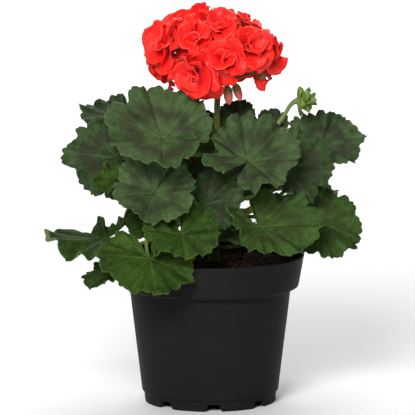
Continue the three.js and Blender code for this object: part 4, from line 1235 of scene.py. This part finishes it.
# each flower's direction from the middle, and its petals' length in mm
FLOWERS = {
    "flower_left": ([-0.84, -0.36, 0.32], 25),
    "flower_left_high": ([-0.42, -0.72, 0.5], 23),
    "flower_left_low": ([-0.36, -0.9, -0.36], 28),
    "flower_front": ([0.14, -0.98, 0.06], 22),
    "flower_front_high": ([0.06, -0.5, 0.8], 19),
    "flower_top": ([-0.16, 0.22, 0.88], 19),
    "flower_right_high": ([0.5, -0.08, 0.8], 17),
    "flower_right": ([0.58, -0.74, 0.3], 23),
    "flower_right_far": ([0.95, -0.24, 0.16], 20),
    "flower_left_under": ([-0.88, 0.2, -0.3], 23),
    "flower_right_low": ([0.86, 0.22, -0.28], 17),
    "flower_back_left": ([-0.55, 0.72, 0.36], 25),
    "flower_back_high": ([0.14, 0.66, 0.68], 21),
    "flower_back_right": ([0.62, 0.68, 0.3], 22),
    "flower_back_low": ([-0.2, 0.94, -0.24], 22),
    "flower_back_right_low": ([0.42, 0.8, -0.36], 20),
}


def flower_base(face):
    return UMBEL_MIDDLE + unit(face) * UMBEL_REACH


# %% Press the petals of neighbours apart
# the heart's height over the base, how far flowers overlap, how softly they press, and the hollow
# round the umbel's root, all in mm
HEART_HEIGHT, OVERLAP, SQUASH, HOLLOW = 6, 5, 5, 11


def heart(face):
    return flower_base(face) + HEART_HEIGHT * unit(face)


def keep_apart(points, name):
    own = heart(FLOWERS[name][0])
    for other, (face, _) in FLOWERS.items():
        if other != name:
            between = heart(face) - own
            distance = np.linalg.norm(between)
            between = between / distance
            past = (points - own) @ between - ((distance + OVERLAP) / 2 - SQUASH)
            pressed = np.where(past > 0, SQUASH * (1 - np.exp(-np.maximum(past, 0) / SQUASH)) - past, 0)
            points = points + pressed[:, None] * between
    away = points - UMBEL_ROOT
    near = np.linalg.norm(away, axis=1)[:, None]
    return np.where(near < HOLLOW, UMBEL_ROOT + away * (HOLLOW / near), points)


# %% Make the flowers
# from the outside in: petals, length, width, base angle, tip angle, cup, curl, how pale the rim is
LAYERS = [
    (5, 0.90, 0.52, 60, 98, 0.04, 0.14, 0.0),
    (4, 0.76, 0.50, 38, 74, 0.12, 0.10, 0.1),
    (3, 0.62, 0.40, 20, 52, 0.24, 0.04, 0.4),
    (3, 0.46, 0.20, 4, 34, 0.50, -0.10, 1.0),
]
# in radians: each layer, like each leaf on a stem, is turned on by it, and so fills the gaps below
GOLDEN_ANGLE = 2.4


def flower(number, name):
    face, size = FLOWERS[name]
    chance = np.random.default_rng(number + 11)
    layers = []
    for layer, (count, length, width, base, tip, cup, curl, rim) in enumerate(LAYERS):
        opening, bending, wide = [chance.uniform(*ends) for ends in ((-7, 7), (-12, 12), (0.9, 1.15))]
        cup, ruffle = cup * chance.uniform(0.4, 1.6), chance.uniform(0.06, 0.13)
        shape = petal(
            size * length, size * width * wide, base + opening, tip + bending, cup, curl, ruffle
        )
        layers.append(whorl(
            f"{name}_{layer}", shape, Count=count, Turn=GOLDEN_ANGLE * layer + 1.7 * number,
            Tilt=0.4, Twist=0.5, Smallest=0.75, Largest=1.12, Crumple=0.75 * size * MM, Grain=55.0,
            Seed=31 * number + layer + 5, Skin=PETAL,
        ))
        set_attribute(layers[-1], "pale", rim)
    whole = stand(join(f"{name}_petals", layers), flower_base(face), face)
    move_points(whole, keep_apart(points_of(whole), name))
    place(whole, name)
    return len(whole.data.polygons)


faces = [flower(number, name) for number, name in enumerate(FLOWERS)]
print(len(faces), "flowers,", sum(faces), "faces")


# %% [markdown]
# ## Flower stalks and calyces
# The flower stalk ends in a knot, from which a thinner stalk runs to each flower and each bud. Under
# every flower sits a calyx of five pointed sepals, and small scales close the knot. A sepal is a
# petal that narrows to a tip, so the whorl tree makes them all.

# %% Routes to the flowers and buds
# the calyx, the tip and the greatest radius of each nodding bud, and where its stalk bends
NODDING_BUDS = {
    "bud_hanging_left": ([11.5, -12, 222], [13, -13, 208], 3.4, [9, -8, 227]),
    "bud_hanging_right": ([16.5, -9, 223], [21, -10, 210.5], 3.1, [12, -5, 227]),
    "bud_half_open": ([36, -10, 232], [34, -12, 217.5], 4.2, [23, -5, 227]),
}
stalk_routes = [
    route(
        [[5, 3.8, 183.6], [4.6, 1.4, 200], [5.1, 0.3, 213], [5.5, 0, 221], [5.7, 0, 226]],
        [2.35, 2.15, 2.1, 2.15, 2.3, 3.3, 3.2, 1.2],
    )
]
for face, _ in FLOWERS.values():
    end = flower_base(face) - 1.2 * unit(face)
    middle = (UMBEL_ROOT + end) / 2 + [0, 0, 0.9]
    stalk_routes.append(route([UMBEL_ROOT, middle, end], [1.0, 0.8, 0.75, 1.1], steps=5))
for calyx, tip, _, bend in NODDING_BUDS.values():
    end = np.array(calyx) + unit(np.subtract(tip, calyx))
    stalk_routes.append(route([UMBEL_ROOT, bend, end], [1.0, 0.8, 0.8, 1.0], steps=7))
greens = [stalk_piece("flower_stalk_green", stalk_routes, STALK)]
print("stalks from the knot:", len(stalk_routes) - 1)


# %% Sepals and scales
def sepal(length, width, base, tip, cup):
    """A petal that is widest a little past its middle, and narrows to a point."""
    points, a, s = petal(length, width, base, tip, cup, rows=9, columns=7, point=0.1)
    narrow = np.sin(math.pi * (0.25 + 0.75 * s) ** 1.1) ** 0.8
    points[..., 0] *= np.maximum(narrow, 0.03)
    return points, a, s


# each calyx sits 2 mm under its flower's base
for number, (face, _) in enumerate(FLOWERS.values()):
    sepals = whorl(
        f"sepals_{number}", sepal(6.5, 1.6, 48, 72, 0.3), Count=5, Turn=0.6 * number, Tilt=0.2,
        Smallest=0.85, Largest=1.1, Crumple=0.0006, Grain=200.0, Thickness=0.0004, Seed=number, Skin=BRACT,
    )
    greens.append(stand(sepals, flower_base(face) - 2.0 * unit(face), face))
scales = whorl(
    "knot_scales", sepal(6.0, 1.8, 95, 125, 0.2), Count=9, Turn=0.4, Tilt=0.35, Smallest=0.7, Largest=1.1,
    Crumple=0.0008, Grain=200.0, Thickness=0.0004, Seed=3, Skin=STALK,
)
greens.append(stand(scales, [5.4, 0, 218.5], [0.05, 0, 1]))
for number, (calyx, tip, radius, _) in enumerate(NODDING_BUDS.values()):
    down = np.subtract(tip, calyx)
    sepals = whorl(
        f"calyx_{number}", sepal(0.72 * np.linalg.norm(down), radius * 0.95, 62, -34, 0.7), Count=5,
        Turn=0.5 * number, Tilt=0.06, Smallest=0.95, Largest=1.05, Crumple=0.0004, Grain=300.0,
        Thickness=0.0005, Seed=40 + number, Skin=CALYX,
    )
    greens.append(stand(sepals, calyx, down))


# %% [markdown]
# The green parts are downy. Hair curves would vanish in the export, so each hair is a real spike
# of three faces, and the scatter tree sets them over the whole surface, leaning a little.

# %% Hairs on the green parts
# so low that hairs stand at any height
EVERYWHERE = -1.0


def downy(name, pieces, node, density, length):
    """Joins the pieces, grows hairs on them and places the result. density counts the hairs on a
    square metre, and length is in mm."""
    whole = join(name, pieces)
    # 0.1 mm thick, several times a real hair, which would be too thin to show
    spike = [(0.05 * math.cos(a), 0.05 * math.sin(a), 0) for a in THIRDS] + [(0, 0.2 * length, length)]
    hair = new_object("hair", spike, [(0, 1, 3), (1, 2, 3), (2, 0, 3), (0, 2, 1)])
    hairs = grow(
        show("hairs", whole.data), SCATTER, Bit=hair, Lowest=EVERYWHERE, Density=float(density),
        Smallest=0.5, Largest=1.2, Lean=0.5, Seed=2, Skin=DOWN,
    )
    bpy.data.objects.remove(hair)
    print(name, len(whole.data.polygons), "faces, and", len(hairs.data.polygons), "in its hairs")
    place(join(name, [whole, hairs]), node)


downy("flower_stalk_green", greens, "flower_stalk", 350000, 0.9)


# %% [markdown]
# ## Buds
# The two hanging buds are closed: their petals are rolled over each other, so the surface of an
# egg gets three spiral steps. That is a rule for its radius, so a closed grid makes it. The
# half-open bud is two whorls of petals that lean out and close again.

# %% Closed buds
def rolled_bud(name, calyx, tip, radius, skin, rows=26, columns=36):
    s = np.linspace(0, 1, rows)[:, None]
    around = np.linspace(0, 2 * math.pi, columns, endpoint=False)
    axis = np.subtract(tip, calyx)
    long = np.linalg.norm(axis)
    # three petals, each lapped over the next, and a third of a turn further at the tip
    lap = (around / (2 * math.pi) * 3 + 1.1 * s) % 1
    egg = radius * np.maximum(np.sin(math.pi * s**0.9) ** 0.6, 0.02)
    wide = egg * (1 - 0.13 * lap**3)
    height = long * (0.12 + 0.88 * s) + 0 * around
    points = np.stack([wide * np.cos(around), wide * np.sin(around), height], 2)
    ends = np.array([(0, 0, long * 0.11), (0, 0, long)])
    bud = closed_grid(name, aim(points, calyx, axis), aim(ends, calyx, axis), skin)
    map_surface(bud, np.append(lap, [0, 0]), np.append(s + 0 * around, [0, 1]))
    return bud


for name in ("bud_hanging_left", "bud_hanging_right"):
    calyx, tip, radius, _ = NODDING_BUDS[name]
    bud = rolled_bud(f"{name}_petals", calyx, tip, radius * 0.96, BUD_PETAL)
    place(bud, name)
    print(bud.name, len(bud.data.polygons), "faces")

# %% The half-open bud
calyx, tip, radius, _ = NODDING_BUDS["bud_half_open"]
# petals, length, width, base angle, tip angle
OPENING = [(4, 14.0, 5.4, 30, -16), (3, 12.5, 4.0, 16, -10)]
layers = []
for layer, (count, *shape) in enumerate(OPENING):
    layers.append(whorl(
        f"opening_{layer}", petal(*shape, 0.45, 0.02, 0.04, point=0.6), Count=count, Turn=1.1 * layer,
        Tilt=0.10, Smallest=0.9, Largest=1.04, Crumple=0.0016, Seed=77 + layer, Skin=PETAL,
    ))
    set_attribute(layers[-1], "pale", 0.2)
down = np.subtract(tip, calyx)
opening = stand(join("bud_half_open_petals", layers), np.array(calyx) + 1.2 * unit(down), down)
place(opening, "bud_half_open")
print(opening.name, len(opening.data.polygons), "faces")


# %% [markdown]
# ## The young umbel
# The next flower head is still green: a tight knot of pointed bracts with closed buds among them,
# on a curved downy stalk. Three whorls of bracts open less and less towards the middle, and seven
# rolled buds stand between them in a spiral, as seeds do in a flower's disc.

# %% The young umbel's stalk and bracts
YOUNG_BASE = np.array([59.5, 6, 208])
YOUNG_OUTWARD = unit([0.98, 0, 0.08])
# bracts, length, width, base angle, tip angle
YOUNG_LAYERS = [(5, 12.5, 6.2, 108, 62), (5, 13.5, 6.0, 74, 36), (4, 14.0, 5.2, 38, 10)]
young_route = route(
    [[7, 2.8, 170.2], [9, 2.5, 171], [28, 4, 178], [43, 7, 188], [51, 8, 198], [56, 7, 206],
     [61, 6, 209.2]],
    [1.9, 1.5, 1.35, 1.3, 1.35, 1.5, 2.2],
)
parts = [stalk_piece("young_stalk", [young_route], YOUNG_STALK, sides=14)]
for layer, (count, *shape) in enumerate(YOUNG_LAYERS):
    bracts = whorl(
        f"bracts_{layer}", sepal(*shape, 0.45), Count=count, Turn=0.7 * layer, Tilt=0.16, Smallest=0.85,
        Largest=1.08, Crumple=0.0014, Grain=160.0, Thickness=0.0006, Seed=90 + layer, Skin=BRACT,
    )
    parts.append(stand(bracts, YOUNG_BASE + YOUNG_OUTWARD, YOUNG_OUTWARD))

# %% Its closed buds
GREEN_BUDS = 7
sideways = np.array([0, 1, 0])
upwards = np.cross(YOUNG_OUTWARD, sideways)
for number in range(GREEN_BUDS):
    turn = GOLDEN_ANGLE * number
    spread = 1.2 + 2.6 * math.sqrt(number / (GREEN_BUDS - 1))
    spoke = math.cos(turn) * sideways + math.sin(turn) * upwards
    root = YOUNG_BASE + 1.5 * YOUNG_OUTWARD + 0.5 * spread * spoke
    end = YOUNG_BASE + (11.5 - 0.5 * spread) * YOUNG_OUTWARD + 1.5 * spread * spoke
    parts.append(rolled_bud(f"green_bud_{number}", root, end, 2.3, BRACT, rows=14, columns=18))
downy("young_umbel_green", parts, "young_umbel", 500000, 0.6)


# %% [markdown]
# ## Floor, light and camera
# The floor is plain and pale. A soft lamp in front and above the camera lights the plant, a larger
# and weaker one overhead fills its shadows, and a third lights the floor behind it, so that the
# background turns white. The camera is 9 degrees above the horizon with a long lens, 3.5 m away,
# because from close by the rim would look rounder and the leaves in front larger than they do.

# %% The floor
# half its side in mm, far beyond the edges of the picture
FAR = 6000
corners = [(-FAR, -FAR, 0), (FAR, -FAR, 0), (FAR, FAR, 0), (-FAR, FAR, 0)]
floor = new_object("floor", corners, [(0, 1, 2, 3)])
# matt paper, so bright that only the plant's shadow shows on it
paper = bpy.data.materials.new("pale studio floor")
paper.use_nodes = True
for key, value in (("Base Color", linear("#f4f4f4")), ("Roughness", 0.9)):
    paper.node_tree.nodes["Principled BSDF"].inputs[key].default_value = value
floor.data.materials.append(paper)
print("floor:", 2 * FAR * MM, "m wide")

# %% Lamps
# the middle of the picture, in metres
AIM = Vector((-0.00186, 0, 0.13483))


def set_up(piece, stand_at, look_at):
    """Stands a lamp or the camera in its place and turns it."""
    piece.location = stand_at
    piece.rotation_euler = (Vector(look_at) - piece.location).to_track_quat("-Z", "Y").to_euler()
    SCENE.collection.objects.link(piece)


# name, where it stands, where it looks, its size in metres, its power in watts
LAMPS = [
    ("front lamp", (-0.4, -1.7, 1.15), AIM, 0.7, 43),
    ("top lamp", (0.05, 0.6, 1.9), AIM, 1.6, 16),
    ("floor lamp", (0, 2.6, 1.7), (0, 2.6, 0), 2.4, 70),
]
for name, stand_at, look_at, size, watts in LAMPS:
    light = bpy.data.lights.new(name, "AREA")
    light.size = size
    light.energy = watts
    set_up(bpy.data.objects.new(name, light), stand_at, look_at)

# a trace of light from all round, so that no shadow is quite black
world = bpy.data.worlds.new("studio")
world.use_nodes = True
world.node_tree.nodes["Background"].inputs["Color"].default_value = linear("#f7f7f7")
world.node_tree.nodes["Background"].inputs["Strength"].default_value = 0.08
SCENE.world = world
SCENE.view_settings.view_transform = "Standard"
print("lamps:", len(LAMPS))

# %% Camera
ELEVATION = math.radians(9)
DISTANCE = 3.5
# this sensor and lens frame a square of 286 mm at that distance
lens = bpy.data.cameras.new("camera")
lens.sensor_width = 36
lens.lens = 440
lens.clip_end = 50
camera = bpy.data.objects.new("camera", lens)
set_up(camera, AIM + DISTANCE * Vector((0, -math.cos(ELEVATION), math.sin(ELEVATION))), AIM)
SCENE.camera = camera
print("camera stands at", [round(c, 3) for c in camera.location])
